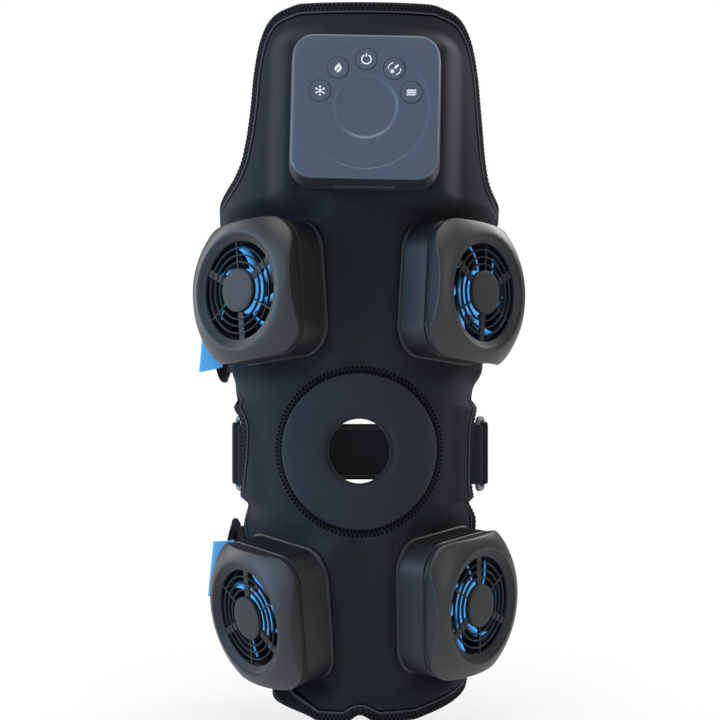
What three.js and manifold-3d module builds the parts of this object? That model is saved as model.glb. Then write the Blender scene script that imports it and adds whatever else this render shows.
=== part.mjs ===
// A hot and cold therapy knee wrap: a neoprene panel that curves round the leg, with a controller
// on the thigh, four fan-cooled heating and cooling modules, and three straps behind the leg.
// Millimetres. +Z runs up the leg, -Y is the front of the knee, +X is the right of the front view.
// The origin is on the leg's axis, level with the middle of the kneecap hole.
import * as THREE from 'three';
import { mergeVertices } from 'three/addons/utils/BufferGeometryUtils.js';
import Module from 'manifold-3d';

const wasm = await Module();
wasm.setup();

// Fits
const touch_gap = 0.3;
const running_gap = 0.5;
const cut_overrun = 2;

// Wrap panel
const wrap_height = 416;
const hem_drop = 157;
const knee_half_width = 76;
const knee_half_depth = 71;
const panel_thickness = 4;
const seat_blend = 22;
const seat_sink = 0.2;
const hem_notch_rise = 5;
const panel_columns = 12;
// Leg section up the wrap: height, half width and half depth as shares.
const leg_section_shares = [
  [0, 0.87, 0.9], [0.1, 0.91, 0.94], [0.2, 0.95, 0.965], [0.27, 0.985, 0.99], [0.36, 0.99, 1],
  [0.45, 0.995, 1.005], [0.54, 1.04, 1.03], [0.64, 1.09, 1.045], [0.72, 1.14, 1.06],
  [0.8, 1.12, 1.035], [0.88, 1.06, 0.985], [1, 1, 0.89],
];
// Panel edge up the wrap: height share and the edge's angle from the front as a share of a right angle.
const edge_angle_shares = [
  [0, 0.43], [0.006, 0.56], [0.018, 0.67], [0.042, 0.76], [0.07, 0.85], [0.1, 0.95],
  [0.135, 0.97], [0.21, 0.97], [0.235, 0.93], [0.262, 0.82], [0.284, 0.755], [0.294, 0.71],
  [0.305, 0.69], [0.43, 0.7], [0.441, 0.74], [0.452, 0.85], [0.48, 0.88], [0.67, 0.88],
  [0.7, 0.85], [0.735, 0.79], [0.765, 0.725], [0.8, 0.69], [0.85, 0.665], [0.9, 0.64],
  [0.94, 0.61], [0.965, 0.575], [0.983, 0.53], [0.995, 0.47], [1, 0.4],
];
// Heights of the panel's rows of facets.
const row_shares = [
  0, 0.006, 0.018, 0.042, 0.07, 0.1, 0.135, 0.17, 0.21, 0.235, 0.262, 0.284, 0.294, 0.305,
  0.345, 0.388, 0.43, 0.441, 0.452, 0.48, 0.53, 0.58, 0.63, 0.67, 0.7, 0.735, 0.765,
  0.8, 0.85, 0.9, 0.94, 0.965, 0.983, 0.995, 1,
];

// Knee ring pad
const knee_pad_radius = 48;
const knee_pad_thickness = 5.4;
const kneecap_hole_radius = 20;
const kneecap_lip_overhang = 1.4;
const knee_pad_steps = 36;

// Straps and their fastenings
const strap_thickness = 2.2;
const strap_stand_off = 4.5;
const strap_sewn_gap = 1.4;
const strap_edge_reach = 6;
const wide_strap_height = 60;
const upper_strap_share = 0.556;
const lower_strap_share = 0.178;
const strap_lift = 7;
const hook_patch_height = 72;
const hook_patch_length = 24;
const hook_patch_thickness = 1.8;
const hook_patch_corner = 10;
const pull_tab_height = 52;
const pull_tab_length = 21;
const pull_tab_thickness = 1.5;
const mid_strap_height = 37.5;
const mid_strap_level = -5;
const mid_strap_dip = 4.5;
const mid_strap_web = 1.1;
const mid_strap_stand_off = 2.6;

// Slotted rings at the sides of the knee
const ring_height = 46;
const ring_bar_radius = 1.5;
const ring_bar_spacing = 11;
const ring_front_angle = 74.5;
const ring_turn = 69;
const ring_bar_sides = 8;
const ring_corner = 3.2;
const bar_play = 0.5;
const loop_height = 36;
const loop_web_thickness = 1.2;
const loop_tail_angle = 54;
const loop_mouth_angle = 62;
const fold_inner_radius = 2.3;

// Controller housing
const controller_half = 42.5;
const controller_corner = 13;
const controller_thickness = 24;
const controller_height = 191.5;
const controller_side = 1.8;
const controller_reach = 72.3;
const controller_lean = 6;
const controller_twist = -1.2;
const controller_parting = 7;
const controller_wall = 2.4;
const controller_floor = 2;
const controller_edge_round = 1.4;
const controller_draft = 0.5;
const face_disc_radius = 35.3;
const face_disc_depth = 0.3;
const dish_radius = 17.8;
const dish_depth = 1.5;
const cover_roof = 3.2;

// Buttons
const button_radius = 6;
const button_circle_radius = 26.7;
const button_clearance = 0.25;
const button_proud = 0.3;
const button_chamfer = 0.4;
const button_flange_radius = 7;
const button_flange_thickness = 1.2;
const button_stem_radius = 2;
const button_travel = 0.6;
const button_names = ['vibration_button', 'contrast_button', 'power_button', 'heat_button', 'cold_button'];
const button_angles = [18, 54, 90, 126, 162];

// Circuit board, battery and charge port
const board_half = 36;
const board_thickness = 1.6;
const board_post_radius = 2.4;
const board_post_inset = 5;
const switch_radius = 2.2;
const switch_height = 0.7;
const battery_width = 60;
const battery_height = 50;
const battery_corner = 3;
const battery_depth = 9.6;
const board_level = 12.5;
const port_width = 9;
const port_height = 3.2;
const port_depth = 7.4;
const port_wall = 0.35;
const port_tongue = 0.7;
const port_hole_clearance = 0.5;
const port_cover_width = 32.4;
const port_cover_height = 4.8;
const port_cover_thickness = 1.2;
const port_cover_gap = 0.3;

// Module housing
const module_half = 39;
const module_corner = 16;
const module_depth = 31;
const module_parting = 19.8;
const module_wall = 2;
const plate_pocket = 1.2;
const parting_gap = 0.4;
const rear_lip_reach = 0.9;
const rear_lip_depth = 1.7;
const rear_waist_depth = 2.7;
const dome_start_radius = 30;
const dome_curve_radius = 31;
const collar_half = 31;
const collar_corner = 11;
const collar_drop = 4.6;
const tile_window_clearance = 0.6;
const louvre_count = 4;
const louvre_length = 52;
const louvre_width = 2.2;
const louvre_pitch = 3.9;
const louvre_first = 4.6;

// Grille
const bezel_radius = 33;
const grille_opening_radius = 28.5;
const grille_thickness = 2.4;
const grille_ledge = 1.6;
const grille_hub_radius = 13.1;
const grille_ring_width = 0.9;
const grille_ring_shares = [0.63, 0.815];
const wide_spoke_width = 4.4;
const thin_spoke_width = 0.9;
const grille_circle_steps = 24;

// Fan
const fan_half = 30;
const fan_corner = 7;
const fan_depth = 10;
const fan_bore_radius = 28.6;
const fan_strut_width = 3;
const fan_strut_depth = 1.6;
const fan_motor_radius = 10.5;
const impeller_hub_radius = 13;
const impeller_hub_wall = 1.2;
const impeller_tip_radius = 27.6;
const impeller_blade_count = 7;
const impeller_blade_thickness = 1.1;
const impeller_blade_sweep = 34;
const impeller_blade_span = 42;

// Heat sink, heating and cooling tile, thermal plate and vibration motor
const sink_half_width = 31;
const sink_half_length = 24.5;
const sink_base = 3;
const sink_depth = 11.8;
const fin_count = 10;
const fin_thickness = 1.3;
const tile_half = 20;
const tile_thickness = 3.8;
const plate_half = 28;
const plate_corner = 9;
const plate_thickness = 3.4;
const plate_proud = 1;
const motor_radius = 5;
const motor_thickness = 2.7;
const motor_side_gap = 0.7;

// Where each module sits: azimuth round the leg, seat distance from the axis as a share of the knee's
// half depth, height as a share of the wrap's height above the hem, and its turn, lean and twist.
const module_places_shares = [
  { name: 'upper_left', azimuth: -47.5, reach: 0.954, height: 0.597, turn: -42.3, lean: 1.9, twist: 6.8, up: true },
  { name: 'upper_right', azimuth: 47.1, reach: 0.918, height: 0.596, turn: 47.8, lean: 0.8, twist: -5.5, up: true },
  { name: 'lower_left', azimuth: -48.9, reach: 0.794, height: 0.153, turn: -51.2, lean: -8.5, twist: -4.7 },
  { name: 'lower_right', azimuth: 49.6, reach: 0.826, height: 0.163, turn: 50.6, lean: -2.2, twist: 3.9 },
];

const radians = Math.PI / 180;

// Materials

const black_neoprene = new THREE.MeshStandardMaterial({ color: 0x20252d, roughness: 0.95, metalness: 0 });
const black_webbing = new THREE.MeshStandardMaterial({ color: 0x17191d, roughness: 0.9, metalness: 0 });
const blue_tab = new THREE.MeshStandardMaterial({ color: 0x4aa5f5, roughness: 0.85, metalness: 0 });
const grey_plastic = new THREE.MeshStandardMaterial({ color: 0x70757d, roughness: 0.5, metalness: 0 });
const charcoal_plastic = new THREE.MeshStandardMaterial({ color: 0x3f4248, roughness: 0.55, metalness: 0 });
const slate_plastic = new THREE.MeshStandardMaterial({ color: 0x4a5563, roughness: 0.5, metalness: 0 });
const blue_plastic = new THREE.MeshStandardMaterial({ color: 0x1c7be0, roughness: 0.3, metalness: 0 });
const board_green = new THREE.MeshStandardMaterial({ color: 0x1d5a3a, roughness: 0.5, metalness: 0.1 });
const battery_wrap = new THREE.MeshStandardMaterial({ color: 0x5c6066, roughness: 0.4, metalness: 0.2 });
const bare_steel = new THREE.MeshStandardMaterial({ color: 0xa8abb0, roughness: 0.35, metalness: 1 });
const aluminium = new THREE.MeshStandardMaterial({ color: 0xb9bcc1, roughness: 0.4, metalness: 1 });
const tile_ceramic = new THREE.MeshStandardMaterial({ color: 0xe9e7e0, roughness: 0.6, metalness: 0 });
const black_plastic = new THREE.MeshStandardMaterial({ color: 0x1b1d20, roughness: 0.6, metalness: 0 });
const black_rubber = new THREE.MeshStandardMaterial({ color: 0x1c1d20, roughness: 0.8, metalness: 0 });

const group = new THREE.Group();

// Adds one named piece, placed by a seat's matrix where it has one.
function add(name, geometry, material, seat) {
  const mesh = new THREE.Mesh(geometry, material);
  mesh.name = name;
  if (seat) mesh.applyMatrix4(seat);
  group.add(mesh);
  return mesh;
}

// Closed solids for boolean work

function toSolid(geometry) {
  const bare = geometry.clone();
  bare.deleteAttribute('normal');
  bare.deleteAttribute('uv');
  const merged = mergeVertices(bare, 1e-4);
  const vertProperties = new Float32Array(merged.attributes.position.array);
  const triVerts = new Uint32Array(merged.index.array);
  return new wasm.Manifold(new wasm.Mesh({ numProp: 3, vertProperties, triVerts }));
}

function fromSolid(solid) {
  const mesh = solid.getMesh();
  const geometry = new THREE.BufferGeometry();
  geometry.setAttribute('position', new THREE.BufferAttribute(mesh.vertProperties, mesh.numProp));
  geometry.setIndex(new THREE.BufferAttribute(mesh.triVerts, 1));
  geometry.computeVertexNormals();
  return geometry;
}

// Takes the cutters away and keeps the biggest body that is left.
function cut(geometry, cutters) {
  let solid = toSolid(geometry);
  for (const cutter of cutters) solid = solid.subtract(toSolid(cutter));
  const bodies = solid.decompose();
  bodies.sort((a, b) => b.volume() - a.volume());
  return fromSolid(bodies[0]);
}

function join(geometries) {
  let solid = toSolid(geometries[0]);
  for (const other of geometries.slice(1)) solid = solid.add(toSolid(other));
  return fromSolid(solid);
}

// Shape helpers

function meshFrom(points, triangles) {
  const geometry = new THREE.BufferGeometry();
  geometry.setAttribute('position', new THREE.Float32BufferAttribute(points.flat(), 3));
  geometry.setIndex(triangles);
  geometry.computeVertexNormals();
  return geometry;
}

// A skin over loops of equal length. The last loop joins the first again, or both ends are closed by fans.
function skinLoops(loops, closed) {
  const count = loops[0].length;
  const points = loops.flat();
  const triangles = [];
  const spans = closed ? loops.length : loops.length - 1;
  for (let i = 0; i < spans; i++) {
    const low = i * count;
    const high = ((i + 1) % loops.length) * count;
    for (let j = 0; j < count; j++) {
      const next = (j + 1) % count;
      triangles.push(low + j, low + next, high + next);
      triangles.push(low + j, high + next, high + j);
    }
  }
  if (!closed) {
    closeFan(points, triangles, loops[0], 0, true);
    closeFan(points, triangles, loops.at(-1), (loops.length - 1) * count, false);
  }
  return meshFrom(points, triangles);
}

function closeFan(points, triangles, loop, first, flip) {
  const middle = [0, 1, 2].map((k) => loop.reduce((sum, p) => sum + p[k], 0) / loop.length);
  const hub = points.length;
  points.push(middle);
  for (let j = 0; j < loop.length; j++) {
    const a = first + j;
    const b = first + ((j + 1) % loop.length);
    triangles.push(...(flip ? [hub, b, a] : [hub, a, b]));
  }
}

// Points of a rounded square, counter-clockwise, each with its polar angle.
function squareOutline(half, corner, steps) {
  const points = [];
  for (let quarter = 0; quarter < 4; quarter++) {
    const turn = quarter * Math.PI / 2;
    for (let i = 0; i <= steps; i++) {
      const angle = (i / steps) * Math.PI / 2;
      const x = half - corner + corner * Math.cos(angle);
      const y = half - corner + corner * Math.sin(angle);
      points.push([x * Math.cos(turn) - y * Math.sin(turn), x * Math.sin(turn) + y * Math.cos(turn)]);
    }
  }
  return points;
}

function atLevel(outline, level) {
  return outline.map(([x, y]) => [x, y, typeof level === 'function' ? level(Math.hypot(x, y)) : level]);
}

// Points of a rounded square at even polar angles.
function squareByAngle(half, corner, count) {
  const middle = half - corner;
  return circlePoints(1, count).map(([x, y]) => {
    const wide = Math.max(Math.abs(x), Math.abs(y));
    const slim = Math.min(Math.abs(x), Math.abs(y));
    const sum = middle * (wide + slim);
    const bent = sum + Math.sqrt(Math.max(sum * sum - 2 * middle * middle + corner * corner, 0));
    const reach = (slim * half) / wide > middle ? bent : half / wide;
    return [x * reach, y * reach];
  });
}

// The circle whose points share the polar angles of an outline's points.
function circleLike(outline, radius) {
  return outline.map(([x, y]) => {
    const reach = radius / Math.hypot(x, y);
    return [x * reach, y * reach];
  });
}

function shapeFrom(points) {
  return new THREE.Shape(points.map(([x, y]) => new THREE.Vector2(x, y)));
}

// A prism from level low to level high.
function prism(points, low, high) {
  const geometry = new THREE.ExtrudeGeometry(shapeFrom(points), { depth: high - low, bevelEnabled: false });
  geometry.translate(0, 0, low);
  return geometry;
}

function circlePoints(radius, steps, x = 0, y = 0) {
  const points = [];
  for (let i = 0; i < steps; i++) {
    const angle = (i / steps) * 2 * Math.PI;
    points.push([x + radius * Math.cos(angle), y + radius * Math.sin(angle)]);
  }
  return points;
}

// A disc or drum standing on level low.
function drum(radius, low, high, steps, x = 0, y = 0) {
  return prism(circlePoints(radius, steps, x, y), low, high);
}

function block(width, height, low, high, x = 0, y = 0) {
  const geometry = new THREE.BoxGeometry(width, height, high - low);
  geometry.translate(x, y, (low + high) / 2);
  return geometry;
}

// Smooth run through a table of shares, by column.
function tableValue(table, share, column) {
  let i = 0;
  while (i < table.length - 2 && share > table[i + 1][0]) i++;
  const [from, to] = [table[i], table[i + 1]];
  const at = Math.min(Math.max((share - from[0]) / (to[0] - from[0]), 0), 1);
  return from[column] + (to[column] - from[column]) * at;
}

// Eases the corners of the leg's section table, so that the surface has no creases.
function legValue(share, column) {
  const reach = 0.05;
  const samples = [-1, -0.5, 0, 0.5, 1];
  const values = samples.map((s) => tableValue(leg_section_shares, share + s * reach, column));
  return values.reduce((sum, v) => sum + v, 0) / samples.length;
}

function smooth(at) {
  const x = Math.min(Math.max(at, 0), 1);
  return x * x * (3 - 2 * x);
}

// Seats: rigid housings lie flat on the wrap, with local +Z out of the wrap and local +Y up the leg.

function seatMatrix(position, turn, lean, twist) {
  const out = new THREE.Vector3(Math.sin(turn * radians), -Math.cos(turn * radians), 0);
  const side = new THREE.Vector3(Math.cos(turn * radians), Math.sin(turn * radians), 0);
  out.applyAxisAngle(side, -lean * radians);
  const up = new THREE.Vector3().crossVectors(out, side);
  side.applyAxisAngle(out, twist * radians);
  up.applyAxisAngle(out, twist * radians);
  return new THREE.Matrix4().makeBasis(side, up, out).setPosition(position);
}

function heightAt(share) {
  return share * wrap_height - hem_drop;
}

const controller_seat = seatMatrix(
  new THREE.Vector3(controller_side, -controller_reach, controller_height),
  0, controller_lean, controller_twist,
);

const modules = module_places_shares.map((place) => {
  const azimuth = place.azimuth * radians;
  const reach = place.reach * knee_half_depth;
  const position = new THREE.Vector3(
    reach * Math.sin(azimuth), -reach * Math.cos(azimuth), heightAt(place.height),
  );
  return { ...place, seat: seatMatrix(position, place.turn, place.lean, place.twist) };
});

const seats = [
  { matrix: controller_seat, half: controller_half },
  ...modules.map((m) => ({ matrix: m.seat, half: module_half + rear_lip_reach })),
].map((s) => ({ ...s, inverse: s.matrix.clone().invert() }));

// The wrap's outer surface at an angle round the leg and a height, flattened under each seat.
function wrapPoint(angle, height) {
  const share = (height + hem_drop) / wrap_height;
  const point = new THREE.Vector3(
    knee_half_width * legValue(share, 1) * Math.sin(angle),
    -knee_half_depth * legValue(share, 2) * Math.cos(angle),
    height,
  );
  for (const seat of seats) {
    const local = point.clone().applyMatrix4(seat.inverse);
    if (Math.abs(local.z) > seat.half) continue;
    const outside = Math.hypot(
      Math.max(Math.abs(local.x) - seat.half, 0), Math.max(Math.abs(local.y) - seat.half, 0),
    );
    const hold = 1 - smooth(outside / seat_blend);
    local.z += (-touch_gap - seat_sink - local.z) * hold;
    point.copy(local.applyMatrix4(seat.matrix));
  }
  return point;
}

// A point below the wrap's outer surface by a depth.
function wrapBelow(angle, height, depth) {
  const step = 0.01;
  const rise = step * knee_half_depth;
  const point = wrapPoint(angle, height);
  if (!depth) return point;
  const across = wrapPoint(angle + step, height).sub(wrapPoint(angle - step, height));
  const upward = wrapPoint(angle, height + rise).sub(wrapPoint(angle, height - rise));
  const out = across.cross(upward).normalize();
  return point.addScaledVector(out, -depth);
}

function edgeAngle(height) {
  const share = (height + hem_drop) / wrap_height;
  return tableValue(edge_angle_shares, share, 1) * Math.PI / 2;
}

// Front panel

// Lift of the hem between its two lobes and at its corners.
function hemRise(across) {
  return hem_notch_rise * (1 - smooth(Math.abs(across) / 0.3));
}

function panelSolid() {
  const faces = [0, panel_thickness].map((depth) => row_shares.map((share, row) => {
    const line = [];
    const pull = smooth(1 - row / 5);
    for (let i = 0; i <= panel_columns; i++) {
      const across = (2 * i) / panel_columns - 1;
      const height = heightAt(share);
      const point = wrapBelow(across * edgeAngle(height), height + pull * hemRise(across), depth);
      line.push(point.toArray());
    }
    return line;
  }));
  const [outer, inner] = faces;
  const loops = outer.map((line, row) => [...line, ...inner[row].slice().reverse()]);
  return skinGrid(loops);
}

// Loops stacked up the wrap, each an outer line and then the inner line backwards, capped by strips.
function skinGrid(loops) {
  const count = loops[0].length;
  const points = loops.flat();
  const triangles = [];
  for (let i = 0; i < loops.length - 1; i++) {
    for (let j = 0; j < count; j++) {
      const next = (j + 1) % count;
      const a = i * count + j;
      const b = i * count + next;
      triangles.push(a, b, b + count);
      triangles.push(a, b + count, a + count);
    }
  }
  const last = (loops.length - 1) * count;
  for (let j = 0; j < count / 2 - 1; j++) {
    const back = count - 1 - j;
    triangles.push(j, back, back - 1);
    triangles.push(j, back - 1, j + 1);
    triangles.push(last + j, last + back - 1, last + back);
    triangles.push(last + j, last + j + 1, last + back - 1);
  }
  return meshFrom(points, triangles);
}

// Loops round the kneecap hole, laid on the wrap's surface.
function padLoop(radius, depth) {
  return circlePoints(radius, knee_pad_steps).map(([x, z]) => (
    wrapBelow(x / knee_half_width, z, depth).toArray()
  ));
}

function kneePad() {
  const mid = knee_pad_thickness / 2;
  const crown = (knee_pad_radius + kneecap_hole_radius) / 2;
  const rise = panel_thickness - knee_pad_thickness;
  return skinLoops([
    padLoop(knee_pad_radius, panel_thickness),
    padLoop(knee_pad_radius, 0),
    padLoop(crown, rise),
    padLoop(kneecap_hole_radius, rise / 2),
    padLoop(kneecap_hole_radius - kneecap_lip_overhang, mid),
    padLoop(kneecap_hole_radius, panel_thickness),
  ], true);
}

function padPlug() {
  const radius = knee_pad_radius + touch_gap;
  const depths = [panel_thickness + cut_overrun, panel_thickness, 0, -knee_pad_radius / 2];
  return skinLoops(depths.map((depth) => padLoop(radius, depth)), false);
}

function seatCutter(outline, low, high, matrix) {
  const geometry = prism(outline, low, high);
  geometry.applyMatrix4(matrix);
  return geometry;
}

function frontPanel() {
  const cutters = [padPlug()];
  const collar_hole = squareOutline(collar_half + touch_gap, collar_corner, 3);
  for (const { seat } of modules) {
    cutters.push(seatCutter(collar_hole, -panel_thickness - module_depth / 3, module_depth / 2, seat));
    const foot = squareOutline(module_half + rear_lip_reach + touch_gap, module_corner, 3);
    cutters.push(seatCutter(foot, -touch_gap, module_depth / 2, seat));
  }
  const base = squareOutline(controller_half + touch_gap, controller_corner, 3);
  cutters.push(seatCutter(base, -touch_gap, controller_thickness / 2, controller_seat));
  return cut(panelSolid(), cutters);
}

add('front_panel', frontPanel(), black_neoprene);
add('knee_ring_pad', kneePad(), black_neoprene);

// Straps

// A line of points widened on both sides, as one closed outline seen from above.
function ribbon(line, thickness, shift = 0) {
  const left = [];
  const right = [];
  line.forEach((point, i) => {
    const before = line[Math.max(i - 1, 0)];
    const after = line[Math.min(i + 1, line.length - 1)];
    const length = Math.hypot(after[0] - before[0], after[1] - before[1]);
    const normal = [(after[1] - before[1]) / length, -(after[0] - before[0]) / length];
    const outer = shift + thickness / 2;
    const inner = shift - thickness / 2;
    left.push([point[0] + normal[0] * outer, point[1] + normal[1] * outer]);
    right.push([point[0] + normal[0] * inner, point[1] + normal[1] * inner]);
  });
  return [...left, ...right.reverse()];
}

// The course of a wide strap at one height: from the panel's right edge, round the back, to a free
// end that stands off the panel's left edge.
function strapCurve(height) {
  const share = (height + hem_drop) / wrap_height;
  const half_width = knee_half_width * legValue(share, 1);
  const half_depth = knee_half_depth * legValue(share, 2);
  const near = [-strap_edge_reach, 0, strap_edge_reach].map((rise) => edgeAngle(height + rise));
  const edge = Math.max(...near);
  const start = wrapBelow(edge + strap_sewn_gap / half_width, height, panel_thickness / 2);
  const points = [new THREE.Vector3(start.x, start.y, 0)];
  const steps = 12;
  const last = 3 * Math.PI / 2 - 0.1;
  for (let i = 1; i <= steps; i++) {
    const angle = edge + ((last - edge) * i) / steps;
    const off = strap_stand_off * smooth(i / steps) - (panel_thickness / 2) * (1 - i / steps);
    points.push(new THREE.Vector3(
      (half_width + off) * Math.sin(angle), -(half_depth + off) * Math.cos(angle), 0,
    ));
  }
  const end = points.at(-1);
  const lean = hook_patch_length / 2;
  points.push(new THREE.Vector3(end.x - lean / 4, end.y - lean, 0));
  points.push(new THREE.Vector3(end.x - lean, end.y - 2 * lean, 0));
  points.push(new THREE.Vector3(end.x - 2.2 * lean, end.y - 2.9 * lean, 0));
  return new THREE.CatmullRomCurve3(points, false, 'centripetal');
}

// A strip of a strap's course, between two distances along it, with rounded corners.
function strapStrip(level, height, from, to, options) {
  const { thickness, shift = 0, corner = 0, rows = 5, columns } = options;
  const loops = [];
  for (let row = 0; row < rows; row++) {
    const at = corner ? (1 - Math.cos((row / (rows - 1)) * Math.PI)) / 2 : row / (rows - 1);
    const z = level + (at - 0.5) * height;
    const into = Math.max(Math.abs(z - level) - height / 2 + corner, 0);
    const inset = corner ? corner - Math.sqrt(Math.max(corner * corner - into * into, 0)) : 0;
    const curve = strapCurve(z);
    const length = curve.getLength();
    const line = [];
    for (let i = 0; i <= columns; i++) {
      const low = from + (options.square_start ? 0 : inset);
      const distance = low + ((to - inset - low) * i) / columns;
      line.push(curve.getPointAt(Math.min(distance / length, 1)).toArray());
    }
    loops.push(ribbon(line, thickness, shift).map(([x, y]) => [x, y, z]));
  }
  return skinGrid(loops);
}

// Length of a strap's course up to its free end, where the pull tab starts.
function strapEnd(level) {
  return strapCurve(level).getLength() - pull_tab_length - hook_patch_length / 2;
}

const wide_straps = [
  { name: 'upper', level: heightAt(upper_strap_share) },
  { name: 'lower', level: heightAt(lower_strap_share) },
];

for (const { name, level } of wide_straps) {
  const end = strapEnd(level);
  const outside = (strap_thickness + hook_patch_thickness) / 2 + 1.5 * touch_gap;
  const strap = { thickness: strap_thickness, columns: 26 };
  add(`${name}_strap`, strapStrip(level, wide_strap_height, 0, end, strap), black_webbing);
  const half_patch = hook_patch_length / 2;
  const patch = {
    thickness: hook_patch_thickness, shift: outside, corner: hook_patch_corner, rows: 9, columns: 5,
  };
  const patch_strip = strapStrip(level, hook_patch_height, end - half_patch, end + half_patch, patch);
  add(`${name}_hook_patch`, patch_strip, black_webbing);
  const tab = { thickness: pull_tab_thickness, columns: 5 };
  const tab_start = end + strap_sewn_gap;
  add(`${name}_pull_tab`, strapStrip(level, pull_tab_height, tab_start, end + pull_tab_length, tab), blue_tab);
}

// Slotted rings, their webbing loops and the middle strap

const ring_sides = [{ name: 'left', side: -1 }, { name: 'right', side: 1 }];

function ringPlaces(side) {
  const front = wrapPoint(side * ring_front_angle * radians, mid_strap_level);
  const along = new THREE.Vector3(side * Math.cos(ring_turn * radians), Math.sin(ring_turn * radians), 0);
  const rear = front.clone().addScaledVector(along, ring_bar_spacing);
  return { front, rear, along };
}

// A round bar bent into a closed rounded rectangle, standing between its front and rear bars.
function ringSolid(side) {
  const { front, along } = ringPlaces(side);
  const half = ring_height / 2 - ring_bar_radius;
  const across = new THREE.Vector3().crossVectors(along, new THREE.Vector3(0, 0, 1));
  const path = [];
  const corners = [[ring_bar_spacing, half], [0, half], [0, -half], [ring_bar_spacing, -half]];
  corners.forEach(([x, z], corner) => {
    const centre_x = x + (x ? -ring_corner : ring_corner);
    const centre_z = z + (z > 0 ? -ring_corner : ring_corner);
    for (let i = 0; i <= 2; i++) {
      const angle = (corner + i / 2) * Math.PI / 2;
      const outward = [Math.cos(angle), Math.sin(angle)];
      path.push({
        x: centre_x + ring_corner * outward[0], z: centre_z + ring_corner * outward[1], outward,
      });
    }
  });
  const loops = path.map(({ x, z, outward }) => circlePoints(ring_bar_radius, ring_bar_sides).map(([u, v]) => {
    const point = front.clone().addScaledVector(along, x + u * outward[0]).addScaledVector(across, side * v);
    point.z = mid_strap_level + z + u * outward[1];
    return point.toArray();
  }));
  return side < 0 ? skinLoops(loops, true) : skinLoops(loops.reverse(), true);
}

function standing(outline, height, level) {
  return prism(outline, level - height / 2, level + height / 2);
}

// Webbing folded round a ring's front bar, its tail sewn under the panel's edge.
function ringLoop(side) {
  const { front } = ringPlaces(side);
  const depth = panel_thickness + 2 * touch_gap + loop_web_thickness + seat_sink;
  const tail = wrapBelow(side * loop_tail_angle * radians, mid_strap_level, depth);
  const mouth = wrapBelow(side * loop_mouth_angle * radians, mid_strap_level, depth);
  const bore = ring_bar_radius + bar_play;
  const steps = 16;
  const line = [tail, mouth, front].map((p) => [p.x, p.y]);
  const web = 2 * loop_web_thickness;
  const bore_cut = circlePoints(bore, steps, front.x, front.y);
  const eye = circlePoints(bore + loop_web_thickness, steps, front.x, front.y);
  const whole = join([
    standing(ribbon(line, web), loop_height, mid_strap_level),
    standing(eye, loop_height, mid_strap_level),
  ]);
  return cut(whole, [standing(bore_cut, loop_height + cut_overrun, mid_strap_level)]);
}

// The middle strap: round the back of the knee, folded round the rear bar of each ring.
function midStrap() {
  const slack = fold_inner_radius - ring_bar_radius - touch_gap;
  const [left, right] = ring_sides.map(({ side }) => {
    const { rear, along } = ringPlaces(side);
    return rear.addScaledVector(along, slack);
  });
  const share = (mid_strap_level + hem_drop) / wrap_height;
  const half_width = knee_half_width * legValue(share, 1) + mid_strap_stand_off;
  const half_depth = knee_half_depth * legValue(share, 2) + mid_strap_stand_off;
  const steps = 26;
  const line = [[right.x, right.y]];
  for (let i = 1; i < steps; i++) {
    const angle = Math.PI / 2 + (Math.PI * i) / steps;
    line.push([half_width * Math.sin(angle), -half_depth * Math.cos(angle)]);
  }
  line.push([left.x, left.y]);
  const eye_radius = fold_inner_radius + mid_strap_web;
  const eye_steps = 16;
  const eyes = [left, right].map((p) => circlePoints(eye_radius, eye_steps, p.x, p.y));
  const bores = [left, right].map((p) => circlePoints(fold_inner_radius, eye_steps, p.x, p.y));
  const pieces = [ribbon(line, 2 * mid_strap_web), ...eyes].map((outline) => (
    standing(outline, mid_strap_height, mid_strap_level)
  ));
  const tall = mid_strap_height + cut_overrun;
  const solid = cut(join(pieces), bores.map((outline) => standing(outline, tall, mid_strap_level)));
  const places = solid.attributes.position;
  for (let i = 0; i < places.count; i++) {
    const back = smooth(places.getY(i) / half_depth);
    places.setZ(i, places.getZ(i) - mid_strap_dip * back);
  }
  return solid;
}

for (const { name, side } of ring_sides) {
  add(`${name}_ring`, ringSolid(side), grey_plastic);
  add(`${name}_ring_loop`, ringLoop(side), black_webbing);
}
add('mid_strap', midStrap(), black_webbing);

// Controller

const cover_bottom = controller_parting + touch_gap;
const disc_level = controller_thickness - face_disc_depth;
const roof_level = disc_level - cover_roof;
const port_level = board_level - touch_gap - port_height / 2;
const recess_depth = port_cover_thickness + port_cover_gap;

function controllerBase() {
  const steps = 5;
  const inner_half = controller_half - controller_wall;
  const outer = squareOutline(controller_half, controller_corner, steps);
  const inner = squareOutline(inner_half, controller_corner - controller_wall, steps);
  const tray = skinLoops([
    atLevel(outer, 0), atLevel(outer, controller_parting),
    atLevel(inner, controller_parting), atLevel(inner, controller_floor),
  ], false);
  const post_place = board_half - board_post_inset;
  const posts = [];
  for (const x of [-post_place, post_place]) {
    for (const y of [-post_place, post_place]) {
      posts.push(drum(board_post_radius, controller_floor / 2, board_level - touch_gap, 8, x, y));
    }
  }
  return join([tray, ...posts]);
}

function buttonPlace(angle) {
  return [
    button_circle_radius * Math.cos(angle * radians), button_circle_radius * Math.sin(angle * radians),
  ];
}

// An obround outline lying across the controller's lower side.
function obround(width, height, steps) {
  const points = [];
  const radius = height / 2;
  for (const end of [1, -1]) {
    for (let i = 0; i <= steps; i++) {
      const angle = (i / steps) * Math.PI - end * Math.PI / 2;
      const turned = end > 0 ? angle : angle;
      points.push([
        end * (width / 2 - radius) + radius * Math.cos(turned), radius * Math.sin(turned),
      ]);
    }
  }
  return points;
}

// Turns a solid built along +Z so that it runs out of the controller's lower side, at the port's level.
function onLowerSide(geometry) {
  geometry.rotateX(Math.PI / 2);
  geometry.translate(0, 0, port_level);
  return geometry;
}

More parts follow.
